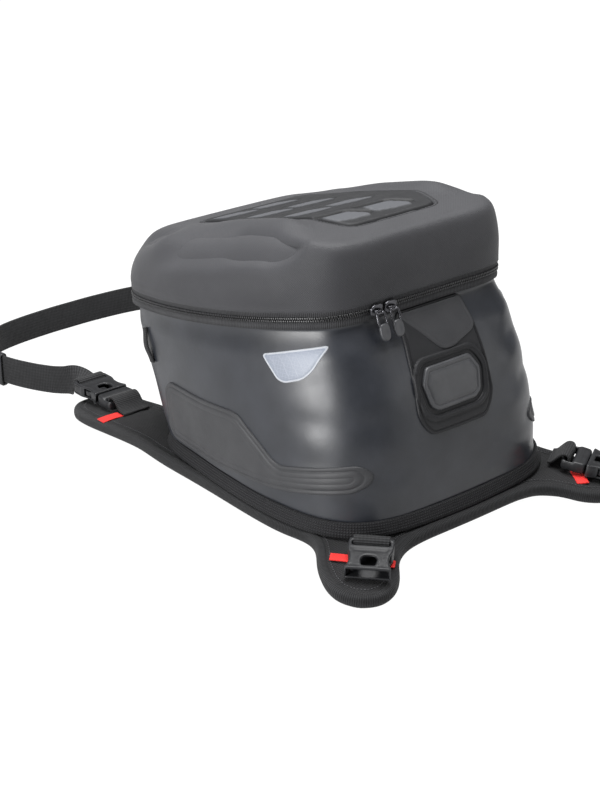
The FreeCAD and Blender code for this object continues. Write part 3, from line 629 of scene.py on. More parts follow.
# ------------------------------------------------------------------ outlines shared with the CAD
BASE = [(0.0, 1.0), (0.40, 0.992), (0.71, 0.934), (0.875, 0.80), (0.946, 0.54), (0.982, 0.17),
        (1.0, -0.21), (0.973, -0.53), (0.885, -0.77), (0.72, -0.91), (0.46, -0.975), (0.23, -0.994), (0.0, -1.0)]
RIM = [(0.0, 1.0), (0.36, 0.994), (0.667, 0.948), (0.847, 0.844), (0.955, 0.647), (1.0, 0.434),
       (0.991, 0.15), (0.925, -0.174), (0.81, -0.64), (0.69, -0.91), (0.54, -0.995), (0.27, -1.0), (0.0, -1.0)]


def outline(frac, half, front, rear):
    right = [(fx * half, fy * front if fy >= 0 else fy * rear) for fx, fy in frac]
    return right + [(-x, y) for x, y in right[-2:0:-1]]


def offset(pts, d):
    out, n = [], len(pts)
    for i in range(n):
        a, b = pts[i - 1], pts[(i + 1) % n]
        tx, ty = b[0] - a[0], b[1] - a[1]
        l = math.hypot(tx, ty)
        out.append((pts[i][0] - ty / l * d, pts[i][1] + tx / l * d))
    return out


base2 = outline(BASE, 112.0, 121.0, 117.0)
rim2 = outline(RIM, 111.0, 173.0, 69.0)
mid2 = []
for (bx, by), (rx, ry) in zip(base2, rim2):
    x, y = 0.5 * (bx + rx), 0.5 * (by + ry)
    if y < 0:
        y -= 10.0 * min(1.0, -y / 90.0)
    mid2.append((x, y))
rim_z = lambda y: 161.0 - 0.18 * (y + 60.0)
lid_z = lambda y: 216.0 - 0.27 * (y + 8.0)
SUB = 18
NU = 24 * SUB


def ring_at(pts2, d, zf):
    return pspline([(x, y, zf(y)) for x, y in offset(pts2, d)], SUB)


def tub_rows(d, vs, z0=20.8, dz=0.0):
    A = ring_at(base2, d, lambda y: z0)
    B = ring_at(mid2, d, lambda y: 0.5 * (20.8 + rim_z(y)))
    C = ring_at(rim2, d, lambda y: rim_z(y) + dz)
    return np.vstack([A * (2 * (v - .5) * (v - 1)) + B * (-4 * v * (v - 1)) + C * (2 * v * (v - .5)) for v in vs])


def perim(R):
    return np.concatenate([[0], np.cumsum(np.linalg.norm(np.diff(R, axis=0), axis=1))])


def ring_sweep(pts2, section, zf=rim_z):
    """Closed ring with a section of (offset, dz) points, anticlockwise seen with +offset to the right."""
    rows = [ring_at(pts2, d, lambda y, q=q: zf(y) + q) for d, q in section]
    m = len(rows)
    P = np.vstack(rows)
    F = []
    for j in range(m):
        k = (j + 1) % m
        for i in range(NU):
            F.append((j * NU + i, k * NU + i, k * NU + (i + 1) % NU, j * NU + (i + 1) % NU))
    s = perim(rows[0])
    ss = np.concatenate([[0], np.cumsum([math.hypot(section[i + 1][0] - section[i][0], section[i + 1][1] - section[i][1]) for i in range(m - 1)])])
    U = np.vstack([np.column_stack([s, np.full(NU, q)]) for q in ss])
    return P, F, U


def orient(P, F):
    """Flips a closed mesh so that its faces look outwards."""
    P = np.asarray(P)
    vol = 0.0
    for f in F:
        for k in range(1, len(f) - 1):
            vol += np.dot(P[f[0]], np.cross(P[f[k]], P[f[k + 1]]))
    return F if vol > 0 else [tuple(f)[::-1] for f in F]


# ------------------------------------------------------------------ tub
NV = 104
vs = np.linspace(0, 1, NV)
T0 = tub_rows(0.0, vs)
N0 = -normals_grid(T0, NU, NV)
V_ = np.repeat(vs, NU)
X, Y, Z = T0[:, 0], T0[:, 1], T0[:, 2]
fade = smooth01(V_, 0.0, 0.06) * (1 - smooth01(V_, 0.976, 0.996))
disp = 1.2 * np.sin(np.pi * V_) ** 1.2
disp -= 2.2 * smooth01(V_, 0.82, 0.96)
disp -= 2.2 * np.exp(-(V_ / 0.04) ** 2)
# folds in the skin: (start, end, half width, height), laid on the right half and mirrored
FOLDS = [((62, -88, 140), (98, -30, 134), 6.5, 1.5), ((66, -92, 126), (106, -34, 118), 5.5, -1.2),
         ((58, -100, 112), (110, -44, 106), 7.5, 1.9), ((72, -100, 97), (112, -48, 93), 5.5, -1.6),
         ((52, -112, 80), (110, -56, 84), 8.0, 2.1), ((70, -112, 64), (112, -60, 68), 6.0, -1.7),
         ((46, -120, 50), (112, -62, 54), 8.5, 1.8), ((74, -114, 38), (112, -50, 40), 6.0, -1.2),
         ((40, -116, 62), (74, -112, 40), 6.0, 1.3), ((30, -118, 42), (70, -116, 30), 6.0, 1.0),
         ((112, 20, 60), (110, 70, 48), 9.0, 1.0), ((100, 96, 120), (84, 118, 60), 9.0, 1.2), ((108, 60, 128), (104, 100, 100), 8.0, 0.9)]
for a, b, w, h in FOLDS:
    for s in (1, -1):
        k = 1.0 if s > 0 else 0.62
        ww, hh = (w * 1.0, h * 0.6) if s > 0 else (w * 1.3, h * 0.2)
        d, t = seg_dist(T0, (s * a[0], a[1], a[2]), (s * b[0], b[1], b[2]))
        disp += hh * np.exp(-(d / ww) ** 2)
disp += 0.22 * np.sin(X * 0.061 + 1.3) * np.sin(Z * 0.083 + Y * 0.045) + 0.1 * np.sin(Y * 0.13 + Z * 0.11 + 0.7)
SK = T0 + N0 * (disp * fade)[:, None]
Tin = tub_rows(-7.0, np.linspace(1, 0, 40), 22.8)
parts_v = [SK, Tin, np.array([[0, 0, 20.8], [0, 0, 22.8]])]
F = grid(NU, NV, flip=True)
kk = len(SK)
F += [((NV - 1) * NU + i, kk + i, kk + (i + 1) % NU, (NV - 1) * NU + (i + 1) % NU) for i in range(NU)]
F += grid(NU, 40, flip=True, base=kk)
c0 = kk + len(Tin)
F += [(i, (i + 1) % NU, c0) for i in range(NU)]
last = kk + 39 * NU
F += [(last + (i + 1) % NU, last + i, c0 + 1) for i in range(NU)]
P = np.vstack(parts_v)
s_ = perim(T0[50 * NU:51 * NU])
U = np.vstack([np.column_stack([np.tile(s_, NV), Z]), np.column_stack([np.tile(s_, 40), Tin[:, 2]]), np.zeros((2, 2))])
F = orient(P, F)
tub_ob = make("tub_skin", P, F, M["tub"], "bag", uv=U, replaces=("tub_shell",))
tub_ob.data.materials.append(M["lining"])
mi = np.zeros(len(tub_ob.data.polygons), np.int32)
mi[(NV - 1) * NU:(NV - 1) * NU + NU + 39 * NU] = 1
mi[-NU:] = 1
tub_ob.data.polygons.foreach_set("material_index", mi)
SKBVH = BVHTree.FromPolygons([tuple(p) for p in SK], grid(NU, NV, flip=True))


def onto_skin(V2, plane, side=1):
    """Projects plane points to the tub's skin: plane 'x' takes (y, z), plane 'y' takes (x, z) on the rear face."""
    H, Nn = np.zeros((len(V2), 3)), np.zeros((len(V2), 3))
    for i, (a, b) in enumerate(V2):
        if plane == "x":
            h = SKBVH.ray_cast(Vector((side * 200, a, b)), Vector((-side, 0, 0)))
            n0 = np.array([side, 0, 0.0])
        else:
            h = SKBVH.ray_cast(Vector((a, -250, b)), Vector((0, 1, 0)))
            n0 = np.array([0, -1.0, 0])
        if h[0] is None:
            h = SKBVH.find_nearest(Vector((side * 112, a, b) if plane == "x" else (a, -90, b)))
        H[i] = h[0]
        n = np.array(h[1])
        Nn[i] = n if n @ n0 > 0 else -n
    return H, Nn


def patch(name, poly, r, plane, side, hfun, mat, node, rings=(0.25, 0.6, 1.0, 1.6, 2.3, 3.1, 4.0, 5.2), step=3.0, attrs=None, holes=(), under=-0.6, bstep=1.4, smooth_n=2):
    pl = rounded(poly, r)
    V, T, D, L = area_mesh(pl, holes, rings=rings, step=step, bstep=bstep)
    H, Nn = onto_skin(V, plane, side)
    # soften the normals over the triangles so that the patch doesn't copy every small fold
    for _ in range(smooth_n):
        acc = Nn.copy()
        np.add.at(acc, T[:, 0], Nn[T[:, 1]] + Nn[T[:, 2]])
        np.add.at(acc, T[:, 1], Nn[T[:, 0]] + Nn[T[:, 2]])
        np.add.at(acc, T[:, 2], Nn[T[:, 0]] + Nn[T[:, 1]])
        Nn = acc / (np.linalg.norm(acc, axis=1)[:, None] + 1e-12)
    h = hfun(V, D)
    top = H + Nn * h[:, None]
    bot = H + Nn * under
    n = len(V)
    P, F = solid_from(V, T, top, bot)
    F = orient(P, F)
    at = {k: np.concatenate([f(V, D), f(V, D)]) for k, f in (attrs or {}).items()}
    return make(name, P, F, mat, "bag", uv=np.vstack([V, V]), attrs=at, replaces=(node,) if node else ())


def step_up(D, w):
    return np.clip(1 - (1 - np.clip(D / w, 0, 1)) ** 2, 0, 1) ** 0.5


PANEL_YZ = [(84, 80), (40, 82), (8, 85), (-2, 84), (-37, 62), (-44, 60), (-98, 72), (-104, 66), (-104, 58),
            (-98, 52), (-44, 41), (-10, 38), (30, 34), (84, 33), (92, 40), (93, 72)]
RAD = [8, 6, 12, 8, 10, 10, 7, 5, 5, 8, 10, 8, 8, 8, 6, 8]


def panel_h(V, D):
    h = 1.3 * step_up(D, 0.9)
    h -= 0.45 * np.exp(-((D - 3.2) / 0.55) ** 2)
    h += 0.25 * smooth01(D, 3.4, 5.0)
    h -= 0.28 * np.exp(-((D - 7.6) / 0.5) ** 2)
    return h


for side, nm in ((-1, "left"), (1, "right")):
    patch("side_panel_skin_" + nm, PANEL_YZ, RAD, "x", side, panel_h, M["panel"], "side_panel_" + nm,
          rings=(0.2, 0.5, 0.9, 1.5, 2.3, 2.8, 3.2, 3.6, 4.3, 5.2, 6.4, 7.1, 7.6, 8.1), step=3.2)
REFL_YZ = [(-19, 134), (-65, 148.5), (-60, 131), (-54, 123.5), (-41, 118.5), (-35, 119.5)]
for side, nm in ((-1, "left"), (1, "right")):
    patch("reflector_film_" + nm, REFL_YZ, [3.5, 4, 6, 6, 5, 4.5], "x", side, lambda V, D: 0.55 * step_up(D, 0.5) - 0.2 * np.exp(-((D - 1.5) / 0.35) ** 2),
          M["reflective"], "reflector_" + nm, rings=(0.2, 0.5, 0.9, 1.2, 1.5, 1.8, 2.4), step=2.4,
          attrs={"rim": lambda V, D: 1 - smooth01(D, 0.9, 1.4)})

# rear panel with its double raised border, the seat of the badge and the badge
REAR_XZ = [(-28, 160), (34, 160), (37, 128), (37, 96), (33, 88), (26, 80), (-26, 80), (-33, 88), (-36, 96), (-33, 128)]
BADGE_XZ = np.array([(-21, 124), (21, 124), (27.5, 114), (24, 99), (18, 95), (-18, 95), (-24, 99), (-27.5, 114)], float)
badge_pl = rounded(BADGE_XZ, 2.5)
seat_pl = rounded((BADGE_XZ - (0, 109.5)) * (1.20, 1.26) + (0, 109.5), 6)
frame_pl = rounded((BADGE_XZ - (0, 109.5)) * (1.32, 1.44) + (0, 109.5), 7)


def rear_h(V, D):
    h = 1.6 * step_up(D, 0.8) - 0.9 * np.exp(-((D - 2.6) / 0.6) ** 2) + 0.15 * smooth01(D, 3, 4.4)
    db = dist_to(V, frame_pl) * np.where(inside(V, frame_pl), -1, 1)
    ds = dist_to(V, seat_pl) * np.where(inside(V, seat_pl), -1, 1)
    h -= 0.6 * np.exp(-((db - 0.2) / 0.7) ** 2)
    h += 1.1 * (1 - smooth01(db, -1.2, 0.1)) * smooth01(ds, -0.6, 0.8)
    h -= 0.9 * (1 - smooth01(ds, -1.4, 0.2))
    return h


patch("rear_panel_skin", REAR_XZ, [6, 6, 8, 8, 7, 8, 8, 7, 8, 8], "y", 1, rear_h, M["rear"], "rear_panel",
      rings=(0.2, 0.5, 0.9, 1.5, 2.1, 2.6, 3.1, 3.8, 4.6), step=1.25, bstep=1.2)


def badge_h(V, D):
    return 1.0 + 2.1 * step_up(D, 1.3) - 0.55 * np.exp(-((D - 3.4) / 0.5) ** 2) + 0.25 * smooth01(D, 4, 7)


patch("rear_badge_plate", BADGE_XZ, 2.5, "y", 1, badge_h, M["badge"], "rear_badge",
      rings=(0.15, 0.4, 0.8, 1.3, 2.0, 2.8, 3.1, 3.4, 3.7, 4.2, 5.2), step=1.8, bstep=1.0, under=0.0)
ring_outer = (BADGE_XZ - (0, 109.5)) * (1.26, 1.34) + (0, 109.5)
ring_inner = rounded((BADGE_XZ - (0, 109.5)) * (1.13, 1.17) + (0, 109.5), 5)
patch("badge_frame_bead", ring_outer, 6, "y", 1, lambda V, D: 1.3 + 0.8 * step_up(D, 1.4), M["rear"], "badge_frame",
      rings=(0.2, 0.5, 0.9, 1.4), step=1.5, bstep=1.2, holes=(ring_inner,), under=0.6)
GUARD_XZ = [(-27, 157.5), (33, 157.5), (35, 138), (9, 130.5), (-1, 131), (-24.5, 153.5)]


def guard_h(V, D):
    # thick soft flap that stands off towards its lower edge
    low = 1 - smooth01(V[:, 1], 131, 156)
    return 1.7 + (0.4 + 0.6 * low) * step_up(D, 1.2) - 0.25 * np.exp(-((D - 2.6) / 0.5) ** 2)


patch("zip_guard_flap", GUARD_XZ, [3, 3, 6, 8, 8, 6], "y", 1, guard_h, M["panel"], "zip_guard",
      rings=(0.2, 0.5, 0.9, 1.5, 2.2, 2.9, 3.6, 4.4), step=2.2, bstep=1.2, under=1.0)

# corner loops at the front of each side
for side, nm in ((-1, "left"), (1, "right")):
    pts = ospline([(110, 86), (113.5, 98), (118.5, 111)], 18)
    H, Nn = onto_skin(pts, "x", side)
    lift = 1.4 + 1.8 * np.sin(np.linspace(0, np.pi, 18)) ** 2
    path = H + Nn * lift[:, None]
    acr = np.cross(np.gradient(path, axis=0), Nn)
    P, F, U = sweep(path, acr, rrect(7.5, 1.6, 0.6))
    make("corner_loop_" + nm, P, orient(P, F), M["webbing"], "bag", uv=U, replaces=("corner_loops",) if side < 0 else ())

# ------------------------------------------------------------------ skirt band at the tub's foot
sec = [(-1.0, 30.9), (0.6, 31.3), (1.5, 30.4), (2.2, 28.2), (3.1, 25.6), (4.1, 23.2), (4.5, 21.6), (3.9, 20.9), (0.5, 20.9), (-1.0, 21.2)]
P, F, U = ring_sweep(base2, sec, lambda y: 0.0)
make("skirt_band", P, orient(P, F), M["skirt"], "bag", uv=U, replaces=("base_skirt",))

# ------------------------------------------------------------------ zip
low = [(-1.5, 0.6), (-0.4, -1.9), (1.2, -2.5), (1.9, -2.1), (2.1, -0.6), (1.8, 1.6), (1.6, 2.9), (1.0, 3.8), (-1.1, 4.1)]
P, F, U = ring_sweep(rim2, low)
make("zip_tape_skin_lower", P, orient(P, F), M["ziptape"], "bag", uv=U, replaces=("zip_tape_lower",))
up = [(-1.4, 5.2), (1.0, 5.3), (1.6, 6.3), (1.8, 8.0), (2.2, 10.2), (2.0, 11.4), (0.6, 11.8), (-1.0, 10.6)]
P, F, U = ring_sweep(rim2, up)
make("zip_tape_skin_upper", P, orient(P, F), M["ziptape"], "lid", uv=U, replaces=("zip_tape_upper",))


def teeth(name, d, dz, phase, body, node):
    R = ring_at(rim2, d, lambda y: rim_z(y) + dz)
    s = perim(np.vstack([R, R[:1]]))
    n = int(s[-1] / 1.7)
    t = (np.arange(n) + phase) * s[-1] / n
    Q = np.vstack([R, R[:1]])
    C = np.stack([np.interp(t, s, Q[:, k]) for k in range(3)], 1)
    C2 = np.stack([np.interp(t + 0.2, s, Q[:, k]) for k in range(3)], 1)
    tan = C2 - C
    tan /= np.linalg.norm(tan, axis=1)[:, None]
    out = np.cross(tan, (0, 0, 1.0)) * -1
    keepm = ~((C[:, 1] > 165) & (np.abs(C[:, 0]) < 62))
    C, tan, out = C[keepm], tan[keepm], out[keepm]
    upv = np.cross(out, tan)
    prof = [(-0.45, -0.75), (0.1, -0.95), (0.62, -0.6), (0.72, 0.0), (0.62, 0.6), (0.1, 0.95), (-0.45, 0.75)]
    P, F, k = [], [], 0
    for c, a, o, u in zip(C, tan, out, upv):
        for q in (-0.52, 0.52):
            for po, pu in prof:
                P.append(c + a * q + o * po + u * pu)
        m = len(prof)
        F += [tuple(k + i for i in range(m)), tuple(k + m + i for i in range(m))[::-1]]
        F += [(k + i, k + m + i, k + m + (i + 1) % m, k + (i + 1) % m) for i in range(m)]
        k += 2 * m
    return make(name, np.array(P), F, M["coil"], body, smooth=False, replaces=(node,))


teeth("zip_teeth_lower", 1.75, 3.75, 0.0, "bag", "zip_coil_lower")
teeth("zip_teeth_upper", 1.85, 5.65, 0.5, "lid", "zip_coil_upper")

# fabric hinge along the front of the rim: one sheet, sewn to the tub and to the lid
R = ring_at(rim2, 3.6, rim_z)
sel = [i for i in range(NU) if R[i, 1] > 150 and abs(R[i, 0]) < 64.5]
sel = sorted(sel, key=lambda i: R[i, 0])
rows = np.linspace(-5.6, 8.8, 17)
P = []
for q in rows:
    for i in sel:
        P.append(R[i] + (0, 0.5 * math.sin((q + 6) * 0.4), q))
P = np.array(P)
n_, m_ = len(sel), len(rows)
back = P - (0, 0.9, 0)
F = grid(n_, m_, wrap=False) + [tuple(x + len(P) for x in f)[::-1] for f in grid(n_, m_, wrap=False)]
edge = [i for i in range(n_)] + [j * n_ + n_ - 1 for j in range(1, m_)] + [(m_ - 1) * n_ + i for i in range(n_ - 2, -1, -1)] + [j * n_ for j in range(m_ - 2, 0, -1)]
F += [(edge[(i + 1) % len(edge)], edge[i], edge[i] + len(P), edge[(i + 1) % len(edge)] + len(P)) for i in range(len(edge))]
PP = np.vstack([P, back])
U = np.column_stack([PP[:, 0], PP[:, 2]])
hinge = make("hinge_fabric", PP, orient(PP, F), M["webbing"], None, uv=U, replaces=("lid_hinge_strip",))

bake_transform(hinge)

def inset(poly, d):
    t = np.roll(poly, -1, 0) - np.roll(poly, 1, 0)
    t /= np.linalg.norm(t, axis=1)[:, None]
    n = np.stack([-t[:, 1], t[:, 0]], 1)
    a = (poly[:, 0] * np.roll(poly[:, 1], -1) - np.roll(poly[:, 0], -1) * poly[:, 1]).sum()
    return poly + n * d * (1 if a > 0 else -1)


# ------------------------------------------------------------------ lid
def lid_rings(d, zlow=10.0, drop=0.0):
    f = lambda k: (lambda y: rim_z(y) + 10 + k * (lid_z(y) - rim_z(y) - 10) - (drop if k > 0.5 else 0))
    return [ring_at(rim2, 2.4 + d, lambda y: rim_z(y) + zlow), ring_at(rim2, 1.0 + d, f(0.42)),
            ring_at(rim2, -6.5 + d, f(0.86)), ring_at(rim2, -17.0 + d, lambda y: lid_z(y) - drop)]


def lid_profiles(d, drop, n, zlow=10.0):
    R = lid_rings(d, zlow, drop)
    cx = np.array([0.0, 50.0])
    out = np.zeros((n, NU, 3))
    for i in range(NU):
        w = ospline([r[i] for r in R], 40)
        e = R[3][i]
        k = np.linspace(0, 1, 60)[1:-1]
        cap = np.column_stack([e[0] + (cx[0] - e[0]) * k, e[1] + (cx[1] - e[1]) * k, np.zeros(len(k))])
        cap[:, 2] = lid_z(cap[:, 1]) - drop
        pr = np.vstack([w, cap])
        pr[:, 2] = np.minimum(pr[:, 2], 216.0 - drop)
        pr = even(pr, n)
        pr0 = pr.copy()
        m_ = smooth01(np.arange(n) / n, 0.02, 0.18)[:, None]
        for _ in range(20):
            q = pr.copy()
            q[1:-1] = 0.25 * pr[:-2] + 0.5 * pr[1:-1] + 0.25 * pr[2:]
            pr = q
        out[:, i] = pr0 * (1 - m_) + pr * m_
    return out


NL = 112
LG = lid_profiles(0.0, 0.0, NL)
LP = LG.reshape(-1, 3)
LN = -normals_grid(LP, NU, NL)


def blob(P, c, r, power=2.0):
    d2 = ((P - np.asarray(c, float)) / np.asarray(r, float))
    return np.exp(-(np.abs(d2) ** power).sum(1))


PADXY = [(-34, -40), (34, -40), (42, -36.5), (50, -12), (54, 58), (52, 116), (46, 123), (-46, 123), (-52, 116), (-54, 58), (-50, -12), (-42, -36.5)]
PADR = [6, 6, 6, 14, 16, 8, 6, 6, 8, 16, 14, 6]
pad_pl = rounded(PADXY, PADR)


def lid_disp(P, N):
    """Outward displacement of the lid's facing: bolsters beside the pad, side scoops, dish and belly."""
    d = np.zeros(len(P))
    ax, y = np.abs(P[:, 0]), P[:, 1]
    drop = np.minimum(216.0, lid_z(y)) - P[:, 2]                       # how far under the top plane
    # bolster along each side of the pad
    amp = 5.0 * smooth01(y, -36, 8) * (1 - 0.72 * smooth01(y, 42, 104)) * (1 - smooth01(y, 118, 150))
    d += amp * np.exp(-((ax - 68.0) / 8.5) ** 2) * (1 - smooth01(drop, 4, 16))
    # long scoop from the shoulder down the side
    t = (drop * 0.9 - (ax - 92.0) * 0.75)                              # roughly the length down the profile from x = 92 on the plane
    w = 94.0 - 6.0 * smooth01(y, 60, 130)
    along = smooth01(y, -50, 0) * (1 - smooth01(y, 70, 106))
    core = np.exp(-(((w + 1.0 - ax) / 12.0) ** 2) * (ax < w + 1.0)) * np.exp(-((drop - 6.0) / 13.0) ** 2)
    d -= 8.8 * along * core
    al2 = smooth01(y, 104, 118) * (1 - smooth01(y, 140, 156))
    c2 = np.exp(-((np.hypot(ax - 84.0, (y - 129.0) * 0.55) / 13.0) ** 2)) * np.exp(-((drop - 4.0) / 12.0) ** 2)
    d -= 8.0 * smooth01(y, 98, 120) * c2
    # lip where the scoop meets the wall
    d += 2.2 * along * np.exp(-((drop - 24.0) / 4.5) ** 2) * smooth01(ax, 88, 98)
    # rounded-pentagon dish in the scoop
    pent = rounded([(-40, -6), (30, -6), (36, 4), (14, 17), (-20, 19), (-40, 10)], 8)
    near = (ax > 74) & (y > -60) & (y < 60) & (drop > -12) & (drop < 45) & (N[:, 2] < 0.99)
    dd = np.full(len(P), 50.0)
    V2 = np.column_stack([y, drop + (92.0 - np.minimum(ax, 92.0)) * -0.55])
    if near.any():
        dd[near] = dist_to(V2[near], pent) * np.where(inside(V2[near], pent), -1, 1)
    d -= 6.0 * (1 - smooth01(dd, -3.0, 1.2)) * smooth01(ax, 76, 84)
    d += 0.8 * np.exp(-((dd - 2.6) / 1.8) ** 2) * smooth01(ax, 76, 84)
    # wall belly
    d += 1.6 * np.exp(-((drop - 38) / 12.0) ** 2) * smooth01(ax, 90, 104)
    top = (N[:, 2] > 0.5) & (ax < 64)
    dp = np.full(len(P), 50.0)
    if top.any():
        dp[top] = dist_to(P[top][:, :2], pad_pl) * np.where(inside(P[top][:, :2], pad_pl), -1, 1)
    return d, dp


ld, dp = lid_disp(LP, LN)
ldg = ld.reshape(NL, NU)
for _ in range(9):
    ldg = 0.5 * ldg + 0.25 * (np.roll(ldg, 1, 1) + np.roll(ldg, -1, 1))
    mid = ldg.copy()
    mid[1:-1] = 0.25 * ldg[:-2] + 0.5 * ldg[1:-1] + 0.25 * ldg[2:]
    ldg = mid
ld = ldg.reshape(-1)
fadeL = np.repeat(smooth01(np.arange(NL) / NL, 0.0, 0.05), NU)
LS = LP + LN * (ld * fadeL)[:, None]
LS[:, 2] -= 4.0 * (1 - smooth01(dp, -2.2, -0.2))
LI = lid_profiles(-4.0, 4.0, 60, 6.2)[::-1].reshape(-1, 3)
apex_t, apex_b = np.array([[0, 50.0, LS[-NU:, 2].mean()]]), np.array([[0, 50.0, lid_z(50.0) - 4.2]])
P = np.vstack([LS, apex_t, apex_b, LI])
F = grid(NU, NL, flip=True)
t0 = (NL - 1) * NU
ia, ib = len(LS), len(LS) + 1
F += [(t0 + (i + 1) % NU, t0 + i, ia)[::-1] for i in range(NU)]
b0 = len(LS) + 2
F += grid(NU, 60, flip=True, base=b0)
F += [(b0 + i, b0 + (i + 1) % NU, ib)[::-1] for i in range(NU)]
e0 = b0 + 59 * NU
F += [(i, (i + 1) % NU, e0 + (i + 1) % NU, e0 + i) for i in range(NU)]
s_ = perim(LP[20 * NU:21 * NU])
vlen = np.arange(NL) * 1.6
U = np.vstack([np.column_stack([np.tile(s_, NL), np.repeat(vlen, NU)]), np.zeros((2, 2)), np.column_stack([np.tile(s_, 60), np.repeat(np.arange(60) * 3.0, NU)])])
# the cap's uv is taken from its plan, so that the knit doesn't run to the middle as spokes
capm = LN[:, 2] > 0.72
U[:len(LS)][capm] = LP[capm][:, :2] * 1.0
import bmesh


def fix_normals(ob):
    bm = bmesh.new()
    bm.from_mesh(ob.data)
    bmesh.ops.recalc_face_normals(bm, faces=bm.faces)
    bm.to_mesh(ob.data)
    bm.free()
    ob.data.polygons.foreach_set("use_smooth", [True] * len(ob.data.polygons))


lid_ob = make("lid_skin", P, F, M["lid"], "lid", uv=U, replaces=("lid_shell",))
fix_normals(lid_ob)
fix_normals(tub_ob)
LBVH = BVHTree.FromPolygons([tuple(p) for p in (LP + LN * (ld * fadeL)[:, None])], grid(NU, NL, flip=True))


def on_lid(x, y):
    h = LBVH.ray_cast(Vector((x, y, 260)), Vector((0, 0, -1)))
    flat = min(216.0, lid_z(y))
    return h[0][2] if h[0] is not None and abs(h[0][2] - flat) < 9 else flat


# tread pad: rows of two raised cells, each with a deep angled groove along its front edge
CELLS = [(dx, ya) for ya in (-9.0, 32.0, 74.0, 115.0) for dx in (0.0, -38.5)]


def cell_poly(dx, ya):
    return rounded([(-9 + dx, ya - 4.4), (15.5 + dx, ya - 5.2), (25.5 + dx, ya - 16.0), (24.0 + dx, ya - 22.0), (8 + dx, ya - 21.0), (-7 + dx, ya - 18.0)], [1.5, 1.5, 2, 2, 2, 1.5])


def chev(dx, ya):
    return np.array([(-10 + dx, ya + 0.5), (4 + dx, ya), (16.5 + dx, ya - 0.8), (19 + dx, ya - 2.6), (29.0 + dx, ya - 14.0)])


outer_pl = inset(pad_pl, -1.8)
V, T, D, L = area_mesh(outer_pl, (), rings=(0.4, 0.9, 1.5, 2.1, 2.7, 3.3, 4.0, 5.0), step=1.35, bstep=1.3)
zb = np.array([on_lid(x, y) for x, y in V])
h = 0.12 - 1.9 * np.exp(-((D - 2.7) / 0.95) ** 2) + 0.9 * smooth01(D, 3.2, 5.0)
cellm, groove_shade_mask = np.zeros(len(V)), np.zeros(len(V))
# painted shade mask: the border groove and the cell grooves, coloured near black in the tread material
groove_shade_mask = np.maximum(groove_shade_mask, np.exp(-((D - 2.7) / 0.8) ** 2))
for dx, ya in CELLS:
    pl = cell_poly(dx, ya)
    near = (V[:, 0] > dx - 16) & (V[:, 0] < dx + 35) & (V[:, 1] > ya - 38) & (V[:, 1] < ya + 8)
    if not near.any():
        continue
    dd = dist_to(V[near], pl) * np.where(inside(V[near], pl), -1, 1)
    edge_ok = smooth01(D[near], 4.0, 5.5)
    q = (1 - smooth01(dd, -1.4, 0.3)) * edge_ok
    h[near] += 0.6 * q
    cellm[near] = np.maximum(cellm[near], (1 - smooth01(dd, -1.2, -0.2)) * edge_ok)
    dc = dist_to(V[near], chev(dx, ya), closed=False)
    g = np.exp(-(dc / 2.0) ** 2) * edge_ok
    h[near] -= 2.8 * g
    groove_shade_mask[near] = np.maximum(groove_shade_mask[near], smooth01(g, 0.2, 0.55))
cellm *= 1 - groove_shade_mask
top = np.column_stack([V, zb + h])
bot = np.column_stack([V, zb - 2.6])
P, F = solid_from(V, T, top, bot)
make("lid_tread_pad", P, orient(P, F), M["tread"], "lid", uv=np.vstack([V, V]),
     attrs={"cell": np.concatenate([cellm, cellm]), "groove": np.concatenate([groove_shade_mask, groove_shade_mask])}, replaces=("lid_pad", "lid_tread_cells"))

# mesh pocket inside the lid, with a bound edge
pk = rounded([(-70, 5), (70, 5), (78, 60), (70, 125), (-70, 125), (-78, 60)], 12)
V, T, D, L = area_mesh(pk, (), rings=(0.8, 2.0, 4.0), step=5.0, bstep=3.0)
zt = lid_z(V[:, 1]) - 7.6 - 2.2 * smooth01(D, 3, 26)
P, F = solid_from(V, T, np.column_stack([V, zt]), np.column_stack([V, zt - 0.7]))
net = make("lid_pocket_net", P, orient(P, F), M["net"], "lid", uv=np.vstack([V, V]), replaces=("lid_mesh_pocket",))
pth = np.column_stack([L[0], lid_z(L[0][:, 1]) - 7.8])
P, F, U = sweep(pth, (0, 0, 1.0), rrect(2.6, 5.0, 1.0), closed=True)
make("lid_pocket_edge", P, orient(P, F), M["binding"], "lid", uv=U)

# ------------------------------------------------------------------ saddle: plate and four legs under one skin
HALF = [(0, 130.2), (30, 130.2), (47, 130.6), (54.0, 134), (55.0, 160), (56.3, 190), (59.5, 214), (68, 227), (82, 232), (96, 231), (106, 223), (111.5, 205),
        (112.6, 175), (112.8, 140), (114.2, 114), (115.8, 90), (116.0, 60), (116.4, 20), (117.2, -30), (115.0, -58), (112.6, -76), (116.5, -90), (124.5, -101),
        (133, -116), (136.5, -133), (130, -148), (117, -156), (103, -155), (91, -147), (79, -134), (66, -127.2), (50, -125.4), (28, -125.8), (0, -126.2)]
OUTL = np.array(HALF + [(-x, y) for x, y in HALF[-2:0:-1]], float)
OUT = even(pspline(OUTL, 10), 900, True)
RD = np.array([0.4711, -0.8821])


def sad_z(x, y):
    """Height of the saddle's top: flat under the tub, each leg sloping down to the tank."""
    x, y = np.asarray(x, float), np.asarray(y, float)
    a = (y - 121.0)
    b = (np.abs(x) - 82.0) * RD[0] + (y + 102.0) * RD[1]
    soft = lambda s, k: k * np.logaddexp(0, s / k)
    return 20.0 - 0.1023 * soft(a, 4.0) - 0.1787 * soft(b, 4.0)


core = inset(OUT, 3.2)
V, T, D, L = area_mesh(core, (), rings=(1.2, 2.6, 4.4, 6.6), step=3.4, bstep=2.4)
zt = sad_z(V[:, 0], V[:, 1])
